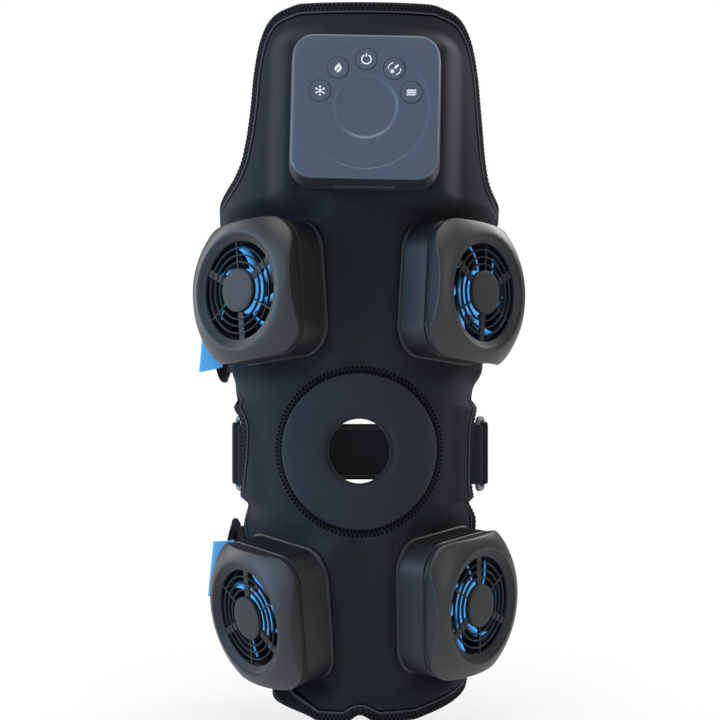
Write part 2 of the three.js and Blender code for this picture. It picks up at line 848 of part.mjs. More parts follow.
function controllerCover() {
  const count = 32;
  const inner_half = controller_half - controller_wall;
  const face_half = controller_half - controller_draft;
  const outer = squareByAngle(controller_half, controller_corner, count);
  const top = squareByAngle(face_half, controller_corner, count);
  const brim = squareByAngle(
    face_half - controller_edge_round, controller_corner - controller_edge_round, count,
  );
  const inner = squareByAngle(inner_half, controller_corner - controller_wall, count);
  const shell = skinLoops([
    atLevel(inner, roof_level),
    atLevel(inner, cover_bottom),
    atLevel(outer, cover_bottom),
    atLevel(top, controller_thickness - controller_edge_round),
    atLevel(brim, controller_thickness),
    atLevel(circleLike(outer, face_disc_radius), controller_thickness),
    atLevel(circleLike(outer, face_disc_radius), disc_level),
    atLevel(circleLike(outer, dish_radius), disc_level),
    atLevel(circleLike(outer, dish_radius * 0.6), disc_level - dish_depth * 0.85),
  ], false);
  const bores = button_angles.map((angle) => {
    const [x, y] = buttonPlace(angle);
    return drum(button_radius + button_clearance, cover_bottom, controller_thickness + cut_overrun, 12, x, y);
  });
  const recess = obround(port_cover_width + 2 * port_cover_gap, port_cover_height + 2 * port_cover_gap, 5);
  const hole = obround(
    port_width + 2 * port_hole_clearance, port_height + 2 * port_hole_clearance, 5,
  );
  const outside = controller_half + cut_overrun;
  return cut(shell, [
    ...bores,
    onLowerSide(prism(recess, controller_half - recess_depth, outside)),
    onLowerSide(prism(hole, controller_half - controller_wall - cut_overrun, outside)),
  ]);
}

function button() {
  const steps = 12;
  const top = controller_thickness + button_proud - face_disc_depth;
  const flange_top = roof_level - touch_gap;
  const flange_low = flange_top - button_flange_thickness;
  const stem_low = board_level + board_thickness + switch_height + button_travel + touch_gap / 2;
  const ring = (radius, level) => atLevel(circlePoints(radius, steps), level);
  return skinLoops([
    ring(button_stem_radius, stem_low),
    ring(button_stem_radius, flange_low),
    ring(button_flange_radius, flange_low),
    ring(button_flange_radius, flange_top),
    ring(button_radius, flange_top),
    ring(button_radius, top - button_chamfer),
    ring(button_radius - button_chamfer, top),
  ], false);
}

function circuitBoard() {
  const low = board_level;
  const high = low + board_thickness;
  const switches = button_angles.map((angle) => {
    const [x, y] = buttonPlace(angle);
    return drum(switch_radius, high - board_thickness / 2, high + switch_height, 8, x, y);
  });
  return join([prism(squareOutline(board_half, board_post_radius, 2), low, high), ...switches]);
}

function batteryPack() {
  const shape = [];
  for (const [x, y] of squareOutline(battery_width / 2, battery_corner, 3)) {
    const shrink = (battery_width - battery_height) / 2;
    shape.push([x, y - Math.sign(y) * shrink]);
  }
  const low = controller_floor + touch_gap;
  return prism(shape, low, low + battery_depth);
}

// A metal socket, open to the outside, with its contact tongue.
function chargePort() {
  const outer = obround(port_width, port_height, 4);
  const inner = obround(port_width - 2 * port_wall, port_height - 2 * port_wall, 4);
  const mouth = controller_half - controller_wall - touch_gap;
  const back = mouth - port_depth;
  const shell = skinLoops([
    atLevel(outer, back), atLevel(outer, mouth), atLevel(inner, mouth), atLevel(inner, back + port_wall),
  ], false);
  const tongue = block(port_width * 0.7, port_tongue, back + port_wall / 2, mouth - port_depth * 0.15);
  return onLowerSide(join([shell, tongue]));
}

function portCover() {
  const face = controller_half - controller_draft * 0.5;
  return onLowerSide(prism(obround(port_cover_width, port_cover_height, 5), face - port_cover_thickness, face));
}

add('controller_base', controllerBase(), charcoal_plastic, controller_seat);
add('controller_cover', controllerCover(), slate_plastic, controller_seat);
button_names.forEach((name, i) => {
  const geometry = button();
  const [x, y] = buttonPlace(button_angles[i]);
  geometry.translate(x, y, 0);
  add(name, geometry, slate_plastic, controller_seat);
});
add('circuit_board', circuitBoard(), board_green, controller_seat);
add('battery_pack', batteryPack(), battery_wrap, controller_seat);
add('charge_port', chargePort(), bare_steel, controller_seat);
add('port_cover', portCover(), black_rubber, controller_seat);

// Modules

const floor_level = tile_thickness - plate_pocket;
const sink_low = floor_level + touch_gap;
const sink_high = sink_low + sink_depth;
const fan_low = sink_high + touch_gap;
const fan_high = fan_low + fan_depth;
const grille_low = module_depth - touch_gap - grille_thickness;
const ledge_level = grille_low - touch_gap;
const hub_low = fan_low + fan_strut_depth + running_gap;
const hub_high = fan_high - running_gap;

// Height of the domed face at a distance from the fan's axis.
function domeLevel(radius) {
  const past = Math.max(radius - dome_start_radius, 0);
  return module_depth - (past * past) / (2 * dome_curve_radius);
}

function rearHousing() {
  const steps = 3;
  const body_top = module_parting - parting_gap;
  const lip = squareOutline(module_half + rear_lip_reach, module_corner, steps);
  const body = squareOutline(module_half, module_corner, steps);
  const inner = squareOutline(module_half - module_wall, module_corner - module_wall, steps);
  const window_half = tile_half + tile_window_clearance;
  const window = squareOutline(window_half, tile_window_clearance, steps);
  const pocket = squareOutline(plate_half + touch_gap, plate_corner, steps);
  const collar = squareOutline(collar_half, collar_corner, steps);
  const shell = skinLoops([
    atLevel(lip, 0), atLevel(lip, rear_lip_depth), atLevel(body, rear_waist_depth),
    atLevel(body, body_top), atLevel(inner, body_top), atLevel(inner, floor_level),
    atLevel(window, floor_level), atLevel(window, -plate_pocket), atLevel(pocket, -plate_pocket),
    atLevel(pocket, -collar_drop), atLevel(collar, -collar_drop), atLevel(collar, 0),
  ], true);
  const slots = [];
  for (let i = 0; i < louvre_count; i++) {
    const low = louvre_first + i * louvre_pitch - louvre_width / 2;
    const wall = module_half - module_wall / 2;
    for (const side of [-1, 1]) {
      const deep = module_wall + cut_overrun;
      slots.push(block(louvre_length, deep, low, low + louvre_width, 0, side * wall));
    }
  }
  return cut(shell, slots);
}

function frontCover() {
  const count = 32;
  const body = squareByAngle(module_half, module_corner, count);
  const inner = squareByAngle(module_half - module_wall, module_corner - module_wall, count);
  const rim = circleLike(body, bezel_radius + touch_gap);
  const ledge = circleLike(body, bezel_radius - grille_ledge);
  const between = body.map(([x, y], i) => [(x + rim[i][0]) / 2, (y + rim[i][1]) / 2]);
  return skinLoops([
    atLevel(body, module_parting), atLevel(body, domeLevel), atLevel(between, domeLevel),
    atLevel(rim, domeLevel), atLevel(rim, ledge_level), atLevel(ledge, ledge_level),
    atLevel(ledge, ledge_level - grille_ledge),
    atLevel(inner, (radius) => domeLevel(radius) - module_wall), atLevel(inner, module_parting),
  ], true);
}

// One gap of the grille: a sector between two radii and two spokes.
function grilleGap(inner_radius, outer_radius, from, to, from_half, to_half) {
  const points = [];
  const steps = 2;
  for (const [radius, flip] of [[outer_radius, false], [inner_radius, true]]) {
    const start = from + Math.asin(from_half / radius);
    const stop = to - Math.asin(to_half / radius);
    for (let i = 0; i <= steps; i++) {
      const at = flip ? 1 - i / steps : i / steps;
      const angle = start + (stop - start) * at;
      points.push(new THREE.Vector2(radius * Math.cos(angle), radius * Math.sin(angle)));
    }
  }
  return new THREE.Path(points);
}

// Bezel, hub and rings joined by three wide and three thin spokes.
function grille(upper) {
  const shape = shapeFrom(circlePoints(bezel_radius, grille_circle_steps));
  const half_ring = grille_ring_width / 2;
  const rings = grille_ring_shares.map((share) => share * grille_opening_radius);
  const edges = [grille_hub_radius, ...rings.flatMap((r) => [r - half_ring, r + half_ring]), grille_opening_radius];
  for (let band = 0; band < edges.length; band += 2) {
    for (let i = 0; i < 6; i++) {
      const from = (i / 3 + (upper ? 1 / 6 : -1 / 6)) * Math.PI;
      const widths = [wide_spoke_width, thin_spoke_width];
      const [from_width, to_width] = i % 2 ? widths.slice().reverse() : widths;
      const to = from + Math.PI / 3;
      shape.holes.push(grilleGap(edges[band], edges[band + 1], from, to, from_width / 2, to_width / 2));
    }
  }
  const geometry = new THREE.ExtrudeGeometry(shape, { depth: grille_thickness, bevelEnabled: false });
  geometry.translate(0, 0, grille_low);
  return geometry;
}

function fanFrame() {
  const shape = shapeFrom(squareOutline(fan_half, fan_corner, 2));
  shape.holes.push(new THREE.Path(circlePoints(fan_bore_radius, 20).map(([x, y]) => new THREE.Vector2(x, y))));
  const frame = new THREE.ExtrudeGeometry(shape, { depth: fan_depth, bevelEnabled: false });
  frame.translate(0, 0, fan_low);
  const motor = drum(fan_motor_radius, fan_low, hub_high - impeller_hub_wall - running_gap, 16);
  const struts = [0, 1, 2].map((i) => {
    const length = fan_bore_radius + 1;
    const strut = block(length, fan_strut_width, fan_low, fan_low + fan_strut_depth, length / 2, 0);
    strut.rotateZ((i * 2 * Math.PI) / 3);
    return strut;
  });
  return join([frame, motor, ...struts]);
}

// One swept and pitched blade, from inside the hub's wall to its tip.
function blade() {
  const low = hub_low + running_gap;
  const high = hub_high - running_gap;
  const root = impeller_hub_radius - impeller_hub_wall / 2;
  const stations = [0, 1];
  const loops = stations.map((at) => {
    const radius = root + (impeller_tip_radius - root) * at;
    const lead = at * impeller_blade_sweep * radians;
    const span = impeller_blade_span * radians * (1 - at / 3);
    const half = impeller_blade_thickness / radius;
    const corner = (angle, level) => [radius * Math.cos(angle), radius * Math.sin(angle), level];
    return [corner(lead, low), corner(lead + half, low), corner(lead + span + half, high), corner(lead + span, high)];
  });
  return skinLoops(loops, false);
}

function impeller() {
  const steps = 14;
  const ring = (radius, level) => atLevel(circlePoints(radius, steps), level);
  const bore = impeller_hub_radius - impeller_hub_wall;
  const hub = skinLoops([
    ring(bore, hub_high - impeller_hub_wall), ring(bore, hub_low),
    ring(impeller_hub_radius, hub_low), ring(impeller_hub_radius, hub_high),
  ], false);
  const blades = [];
  for (let i = 0; i < impeller_blade_count; i++) {
    const one = blade();
    one.rotateZ((i * 2 * Math.PI) / impeller_blade_count);
    blades.push(one);
  }
  return join([hub, ...blades]);
}

// A base with fins that run up the leg, towards the louvres.
function heatSink() {
  const points = [[-sink_half_width, sink_low], [sink_half_width, sink_low]];
  const pitch = (2 * sink_half_width - fin_thickness) / (fin_count - 1);
  const root = sink_low + sink_base;
  for (let i = fin_count - 1; i >= 0; i--) {
    const x = -sink_half_width + i * pitch;
    if (i < fin_count - 1) points.push([x + fin_thickness, root]);
    points.push([x + fin_thickness, sink_high], [x, sink_high]);
    if (i > 0) points.push([x, root]);
  }
  const geometry = new THREE.ExtrudeGeometry(shapeFrom(points), { depth: 2 * sink_half_length, bevelEnabled: false });
  geometry.rotateX(Math.PI / 2);
  geometry.translate(0, sink_half_length, 0);
  return geometry;
}

function thermalPlate() {
  const high = -plate_pocket - touch_gap;
  return prism(squareOutline(plate_half, plate_corner, 3), high - plate_thickness, high);
}

function vibrationMotor() {
  const place = sink_half_length + motor_side_gap + motor_radius;
  return drum(motor_radius, sink_low, sink_low + motor_thickness, 14, 0, -place);
}

for (const { name, up, seat } of modules) {
  add(`${name}_rear_housing`, rearHousing(), charcoal_plastic, seat);
  add(`${name}_front_cover`, frontCover(), charcoal_plastic, seat);
  add(`${name}_grille`, grille(up), charcoal_plastic, seat);
  add(`${name}_fan_frame`, fanFrame(), black_plastic, seat);
  add(`${name}_impeller`, impeller(), blue_plastic, seat);
  add(`${name}_heat_sink`, heatSink(), aluminium, seat);
  const tile = block(2 * tile_half, 2 * tile_half, -plate_pocket, floor_level);
  add(`${name}_peltier_tile`, tile, tile_ceramic, seat);
  add(`${name}_thermal_plate`, thermalPlate(), aluminium, seat);
  add(`${name}_vibration_motor`, vibrationMotor(), bare_steel, seat);
}

export default group;
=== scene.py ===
"""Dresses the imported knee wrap: fine meshes, cloth, stitches, materials, light and camera.

Sizes are in millimetres where a name doesn't say otherwise, and go into Blender in metres.
"""
import math

import bpy
import numpy as np
from mathutils import Matrix, Vector


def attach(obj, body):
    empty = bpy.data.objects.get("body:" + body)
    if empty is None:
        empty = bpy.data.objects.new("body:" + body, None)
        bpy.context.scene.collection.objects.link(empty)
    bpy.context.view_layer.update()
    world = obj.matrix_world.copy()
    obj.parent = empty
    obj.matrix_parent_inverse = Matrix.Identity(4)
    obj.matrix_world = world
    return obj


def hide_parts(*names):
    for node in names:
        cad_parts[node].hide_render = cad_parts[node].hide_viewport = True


MM = 0.001
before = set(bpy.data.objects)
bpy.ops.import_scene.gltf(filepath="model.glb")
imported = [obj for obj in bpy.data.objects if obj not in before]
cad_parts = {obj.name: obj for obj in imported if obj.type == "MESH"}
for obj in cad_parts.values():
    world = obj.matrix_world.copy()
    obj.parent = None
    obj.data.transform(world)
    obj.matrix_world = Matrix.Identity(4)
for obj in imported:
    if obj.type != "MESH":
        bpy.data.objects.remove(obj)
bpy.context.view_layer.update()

# Camera and stage
CAMERA_PLACE = (-1.2, -872.0, 52.4)
CAMERA_LENS = 70.0
CAMERA_SENSOR = 36.0
FLOOR_LEVEL = -165.0
FLOOR_HALF = 6000.0

# Wrap panel, close to the sizes of its solid
WRAP_HEIGHT = 416.0
HEM_DROP = 157.0
KNEE_HALF_WIDTH = 76.0
KNEE_HALF_DEPTH = 71.0
PANEL_THICKNESS = 4.0
SEAT_BLEND = 15.0
SEAT_SINK = 0.5
WRAP_SIDE = -1.6
HEM_NOTCH_RISE = 5.0
# share of the wrap's height, then of the knee's half width on the left and on the right and of its half depth
LEG_SECTION = np.array([
    [0, 0.88, 0.88, 0.9], [0.1, 0.88, 0.875, 0.94], [0.2, 0.875, 0.86, 0.965],
    [0.27, 0.88, 0.862, 0.99], [0.36, 0.935, 0.885, 1], [0.45, 0.995, 0.905, 1.005],
    [0.5, 1.01, 0.92, 1.02], [0.54, 1.04, 0.98, 1.03], [0.64, 1.09, 1.08, 1.045],
    [0.72, 1.14, 1.14, 1.06], [0.8, 1.12, 1.12, 1.035], [0.88, 1.06, 1.06, 0.985], [1, 1, 1, 0.89],
])
# share of the wrap's height, then the edge's angle on the left and on the right in quarter turns
EDGE_ANGLE = np.array([
    [0, 0.25, 0.31], [0.006, 0.275, 0.45], [0.012, 0.41, 0.61], [0.018, 0.52, 0.76], [0.025, 0.6, 0.85],
    [0.042, 0.71, 0.91], [0.07, 0.85, 0.94], [0.1, 0.94, 0.955], [0.135, 0.97, 0.97], [0.292, 0.97, 0.97],
    [0.297, 0.96, 0.96], [0.303, 0.9, 0.87], [0.31, 0.86, 0.82], [0.318, 0.83, 0.8], [0.365, 0.76, 0.79],
    [0.4, 0.73, 0.785], [0.412, 0.725, 0.79], [0.423, 0.755, 0.81], [0.432, 0.8, 0.84], [0.44, 0.87, 0.88],
    [0.447, 0.94, 0.925], [0.453, 0.97, 0.955], [0.46, 0.97, 0.97],
    [0.7, 0.97, 0.97], [0.727, 0.947, 0.975], [0.735, 0.88, 0.87], [0.7415, 0.816, 0.79],
    [0.757, 0.7, 0.723], [0.765, 0.668, 0.71], [0.772, 0.644, 0.704], [0.789, 0.608, 0.693],
    [0.805, 0.598, 0.692], [0.82, 0.586, 0.693], [0.85, 0.58, 0.7], [0.875, 0.579, 0.705],
    [0.9, 0.582, 0.711], [0.92, 0.576, 0.706], [0.94, 0.566, 0.694], [0.955, 0.55, 0.675],
    [0.965, 0.532, 0.65], [0.975, 0.508, 0.618], [0.983, 0.478, 0.587], [0.989, 0.444, 0.548],
    [0.993, 0.40, 0.50], [0.997, 0.35, 0.435], [1, 0.29, 0.37],
])
CROWN_RISE = 4.2
EAR_LIFT = 5.0
EAR_FADE = 6.0
EAR_SHARES = (0.291, 0.446)
EAR_ANGLES = (0.56, 0.8)
STITCH_PITCH = 2.55
THREAD_RADIUS = 0.34
KNEE_STITCHES = 124
PAD_RADIUS = 45.6
PAD_STITCH_RADIUS = 48.5

# Straps and rings, close to the sizes of their solids
STRAP_THICKNESS = 2.2
UPPER_STRAP_STAND_OFF = 4.5
LOWER_STRAP_STAND_OFF = 9.0
STRAP_SEWN_GAP = 1.8
TAB_SEWN_GAP = 1.2
PATCH_GAP = 0.3
PATCH_REACH = 14.0
PATCH_SHORT = 4.5
TAB_LIFT = 0.5
STRAP_EDGE_REACH = 6.0
WIDE_STRAP_HEIGHT = 60.0
UPPER_STRAP_SHARE = 0.556
LOWER_STRAP_SHARE = 0.178
HOOK_PATCH_HEIGHT = 72.0
HOOK_PATCH_LENGTH = 24.0
HOOK_PATCH_THICKNESS = 1.8
HOOK_PATCH_CORNER = 17.0
PULL_TAB_LENGTH = 21.0
PULL_TAB_THICKNESS = 1.5
MID_STRAP_HEIGHT = 37.5
MID_STRAP_LEVEL = -5.0
MID_STRAP_DIP = 4.5
MID_STRAP_WEB = 1.1
MID_STRAP_STAND_OFF = 2.6
MID_STRAP_HALF_WIDTH = 77.8
RING_HEIGHT = 46.0
RING_BAR_RADIUS = 1.5
RING_BAR_SPACING = 11.0
RING_FRONTS = {-1: (-72.6, -18.9), 1: (70.4, -18.9)}
RING_TURN = 69.0
RING_CORNER = 3.2
LOOP_HEIGHT = 36.0
LOOP_WEB = 1.2
LOOP_TAIL_ANGLE = 54.0
LOOP_MOUTH_ANGLE = 62.0
FOLD_INNER_RADIUS = 2.3

# Controller, in the frame of its seat
CONTROLLER_HALF = 42.5
CONTROLLER_CORNER = 13.0
CONTROLLER_THICKNESS = 24.0
CONTROLLER_PARTING = 7.0
FACE_DISC_RADIUS = 35.3
DISH_RADIUS = 17.8
BUTTON_RADIUS = 6.0
BUTTON_SIDES = 64
ICON_LEVEL = 23.93
ICON_THICKNESS = 0.2
SHELL_SIDES = 160
BUTTON_CIRCLE = 26.7
BUTTONS = {"vibration": 18, "contrast": 54, "power": 90, "heat": 126, "cold": 162}
PORT_LEVEL = 10.6
PORT_COVER_WIDTH = 32.4
PORT_COVER_HEIGHT = 4.8

# Modules, in the frames of their seats and a little deeper than their solids
MODULE_HALF = 39.0
MODULE_CORNER = 18.0
MODULE_DEPTH = 33.9
MODULE_PARTING = 19.8
DOME_START = 31.0
DOME_SPREAD = 28.0
LOUVRE_LENGTH = 54.0
LOUVRE_HEIGHT = 2.2
LOUVRE_LEVEL = 4.6
LOUVRE_PITCH = 3.9
BLADES = 7
BLADE_ROOT = 12.6
BLADE_TIP = 27.5
BLADE_LEVEL = 17.7
BLADE_RISE = 6.1
BLADE_CUP = 0.9
BLADE_THICKNESS = 1.0
BEZEL_RADIUS = 33.0
GRILLE_OPENING = 28.5
GRILLE_HUB = 12.6
GRILLE_FLOOR = 29.4
GRILLE_RINGS = (0.58, 0.72, 0.865)
COLLAR_HALF = 31.0
COLLAR_CORNER = 11.0
COLLAR_DROP = 4.6
POCKET_HALF = 28.3
POCKET_CORNER = 9.0
WINDOW_HALF = 20.6
WINDOW_CORNER = 0.6

# Points round a module's or the knee pad's outlines
SIDES = 144


def seat_matrix(position, turn, lean, twist):
    """Local +Z out of the wrap and local +Y up the leg, in metres."""
    turn, lean, twist = (math.radians(v) for v in (turn, lean, twist))
    out = Vector((math.sin(turn), -math.cos(turn), 0))
    side = Vector((math.cos(turn), math.sin(turn), 0))
    out.rotate(Matrix.Rotation(-lean, 3, side))
    up = out.cross(side)
    spin = Matrix.Rotation(twist, 3, out)
    side, up = spin @ side, spin @ up
    matrix = Matrix((side, up, out)).transposed().to_4x4()
    matrix.translation = Vector(position) * MM
    return matrix


def module_seat(azimuth, reach, height, turn, lean, twist):
    angle = math.radians(azimuth)
    far = reach * KNEE_HALF_DEPTH
    place = (far * math.sin(angle), -far * math.cos(angle), height * WRAP_HEIGHT - HEM_DROP)
    return seat_matrix(place, turn, lean, twist)


CONTROLLER_SEAT = seat_matrix((1.8, -72.2, 190.7), 0, 6, -1.2)
MODULES = {
    "upper_left": module_seat(-47.5, 0.954, 0.597, -42.3, 1.9, 6.8),
    "upper_right": module_seat(47.1, 0.918, 0.596, 47.8, 0.8, -5.5),
    "lower_left": module_seat(-48.9, 0.794, 0.153, -51.2, -8.5, -4.7),
    "lower_right": module_seat(49.6, 0.826, 0.163, 50.6, -2.2, 3.9),
}


# Mesh helpers

def shade(mesh, angle):
    """Smooth shading with edges sharp from an angle on."""
    mesh.polygons.foreach_set("use_smooth", [True] * len(mesh.polygons))
    mesh.set_sharp_from_angle(angle=math.radians(angle))


def plain_mesh(name, points, faces):
    mesh = bpy.data.meshes.new(name)
    mesh.from_pydata([tuple(p) for p in np.asarray(points, float) * MM], [], [tuple(f) for f in faces])
    return mesh


def in_scene(name, data):
    obj = bpy.data.objects.new(name, data)
    bpy.context.scene.collection.objects.link(obj)
    return obj


def new_object(name, shape, material, body, seat=None, angle=32):
    """A mesh object riding on a body, from points in millimetres, faces and in some shapes UVs."""
    points, faces, *uvs = shape
    mesh = plain_mesh(name, points, faces)
    mesh.update()
    if uvs:
        layer = mesh.uv_layers.new(name="UVMap")
        corners = np.array([l.vertex_index for l in mesh.loops])
        layer.data.foreach_set("uv", np.asarray(uvs[0], np.float32)[corners].ravel())
    shade(mesh, angle)
    mesh.materials.append(material)
    obj = in_scene(name, mesh)
    if seat is not None:
        obj.matrix_world = seat
    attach(obj, body)
    return obj


def second_material(obj, material, picks):
    """Another material for the faces picked with 1."""
    obj.data.materials.append(material)
    obj.data.polygons.foreach_set("material_index", picks)


def skin_loops(loops, ring=False, caps=True):
    """Points and faces of a skin over closed loops of equal length."""
    count = len(loops[0])
    points = [p for loop in loops for p in loop]
    faces = []
    spans = len(loops) if ring else len(loops) - 1
    for i in range(spans):
        low, high = i * count, ((i + 1) % len(loops)) * count
        for j in range(count):
            k = (j + 1) % count
            faces.append((low + j, low + k, high + k, high + j))
    if caps and not ring:
        faces.append(tuple(range(count))[::-1])
        last = (len(loops) - 1) * count
        faces.append(tuple(range(last, last + count)))
    return points, faces


def slab(loops):
    """A closed sheet over rows of points that run out along one face and back along the other."""
    points, faces = skin_loops(loops, caps=False)
    count = len(loops[0])
    last = len(points) - count
    for j in range(count // 2 - 1):
        back = count - 1 - j
        faces.append((j, back, back - 1, j + 1))
        faces.append((last + j, last + j + 1, last + back - 1, last + back))
    return points, faces


def merge_parts(parts):
    """Joins (points, faces) pairs into one pair."""
    points, faces = [], []
    for some_points, some_faces in parts:
        first = len(points)
        points.extend(some_points)
        faces.extend(tuple(i + first for i in f) for f in some_faces)
    return points, faces


def unit(vectors):
    return vectors / np.linalg.norm(vectors, axis=-1)[..., None]


def normals(line):
    """Unit vectors square to a line in a plane."""
    run = unit(np.gradient(np.asarray(line, float), axis=0))
    return np.stack([run[:, 1], -run[:, 0]], 1)


def lengths(points):
    """Distances along a line of points."""
    return np.concatenate([[0], np.cumsum(np.linalg.norm(np.diff(points, axis=0), axis=1))])


def along_line(at, distance, line):
    """Points of a line at distances along it."""
    return np.stack([np.interp(at, distance, column) for column in np.asarray(line).T], -1)


def rounded_square(half, corner, count):
    """Outline of a rounded square at even polar angles, as an (n, 2) array."""
    angle = (np.arange(count) + 0.5) / count * 2 * np.pi
    x, y = np.cos(angle), np.sin(angle)
    middle = half - corner
    wide, slim = np.maximum(abs(x), abs(y)), np.minimum(abs(x), abs(y))
    total = middle * (wide + slim)
    bent = total + np.sqrt(np.maximum(total**2 - 2 * middle**2 + corner**2, 0))
    reach = np.where(slim * half / wide > middle, bent, half / wide)
    return np.stack([x * reach, y * reach], 1)


def circle(radius, count, x=0.0, y=0.0):
    angle = (np.arange(count) + 0.5) / count * 2 * np.pi
    return np.stack([x + radius * np.cos(angle), y + radius * np.sin(angle)], 1)


def turned(profile, count=SIDES, ring=False, x=0.0, y=0.0):
    """A skin of circles through (radius, level) points."""
    return skin_loops([level(circle(radius, count, x, y), z) for radius, z in profile], ring=ring)


def level(outline, z):
    """An outline lifted to a level, or to a level that depends on each point's radius."""
    outline = np.asarray(outline, float)
    heights = z(np.hypot(outline[:, 0], outline[:, 1])) if callable(z) else np.full(len(outline), float(z))
    return np.column_stack([outline, heights])


def obround(width, height, count):
    radius = height / 2
    turn = np.linspace(-np.pi / 2, np.pi / 2, count)
    right = np.stack([width / 2 - radius + radius * np.cos(turn), radius * np.sin(turn)], 1)
    return np.vstack([right, -right])


def ribbon(line, width):
    """A flat stroke of an icon along a line in a plane, of one width or one for each point."""
    line = np.asarray(line, float)
    width = np.broadcast_to(width, len(line))[:, None]
    across = normals(line) * width / 2
    left, right = line + across, line - across
    outline = np.vstack([left, right[::-1]])
    count = len(line)
    points = [(*p, z) for z in (ICON_LEVEL, ICON_LEVEL - ICON_THICKNESS) for p in outline]
    total = 2 * count
    faces = []
    for i in range(count - 1):
        a, b, c, d = i, i + 1, total - 2 - i, total - 1 - i
        faces.append((a, d, c, b))
        faces.append((total + a, total + b, total + c, total + d))
    for i in range(total):
        j = (i + 1) % total
        faces.append((i, j, total + j, total + i))
    return points, faces


def tube(path, radius, sides, closed, up):
    """A round tube along a path of points, with an upward direction for each."""
    path = np.asarray(path, float)
    tangent = unit(np.roll(path, -1, 0) - np.roll(path, 1, 0) if closed else np.gradient(path, axis=0))
    side = unit(np.cross(tangent, up))
    lift = np.cross(side, tangent)
    turn = np.arange(sides) / sides * 2 * np.pi
    cosine, sine = np.cos(turn)[:, None], np.sin(turn)[:, None]
    loops = [p + radius * (cosine * s + sine * u) for p, s, u in zip(path, side, lift)]
    return skin_loops(loops, ring=closed, caps=not closed)


def cut(obj, cutters, angle):
    """Takes cutter meshes, as (points, faces) in millimetres, away from an object's mesh."""
    tool = in_scene("cutter", plain_mesh("cutter", *merge_parts(cutters)))
    tool.matrix_world = obj.matrix_world
    bpy.context.view_layer.update()
    modifier = obj.modifiers.new("cut", "BOOLEAN")
    modifier.operation, modifier.solver, modifier.use_self = "DIFFERENCE", "EXACT", False
    modifier.object = tool
    graph = bpy.context.evaluated_depsgraph_get()
    done = bpy.data.meshes.new_from_object(obj.evaluated_get(graph))
    obj.modifiers.clear()
    obj.data = done
    bpy.data.objects.remove(tool)
    shade(obj.data, angle)


# Materials

def add_node(tree, kind, inputs=(), **settings):
    """A shader node; an input takes a value, or a link from a socket."""
    node = tree.nodes.new(kind)
    for name, value in settings.items():
        setattr(node, name, value)
    for name, value in dict(inputs).items():
        if isinstance(value, bpy.types.NodeSocket):
            tree.links.new(value, node.inputs[name])
        else:
            node.inputs[name].default_value = value
    return node


def empty_tree(owner):
    owner.use_nodes = True
    owner.node_tree.nodes.clear()
    return owner.node_tree


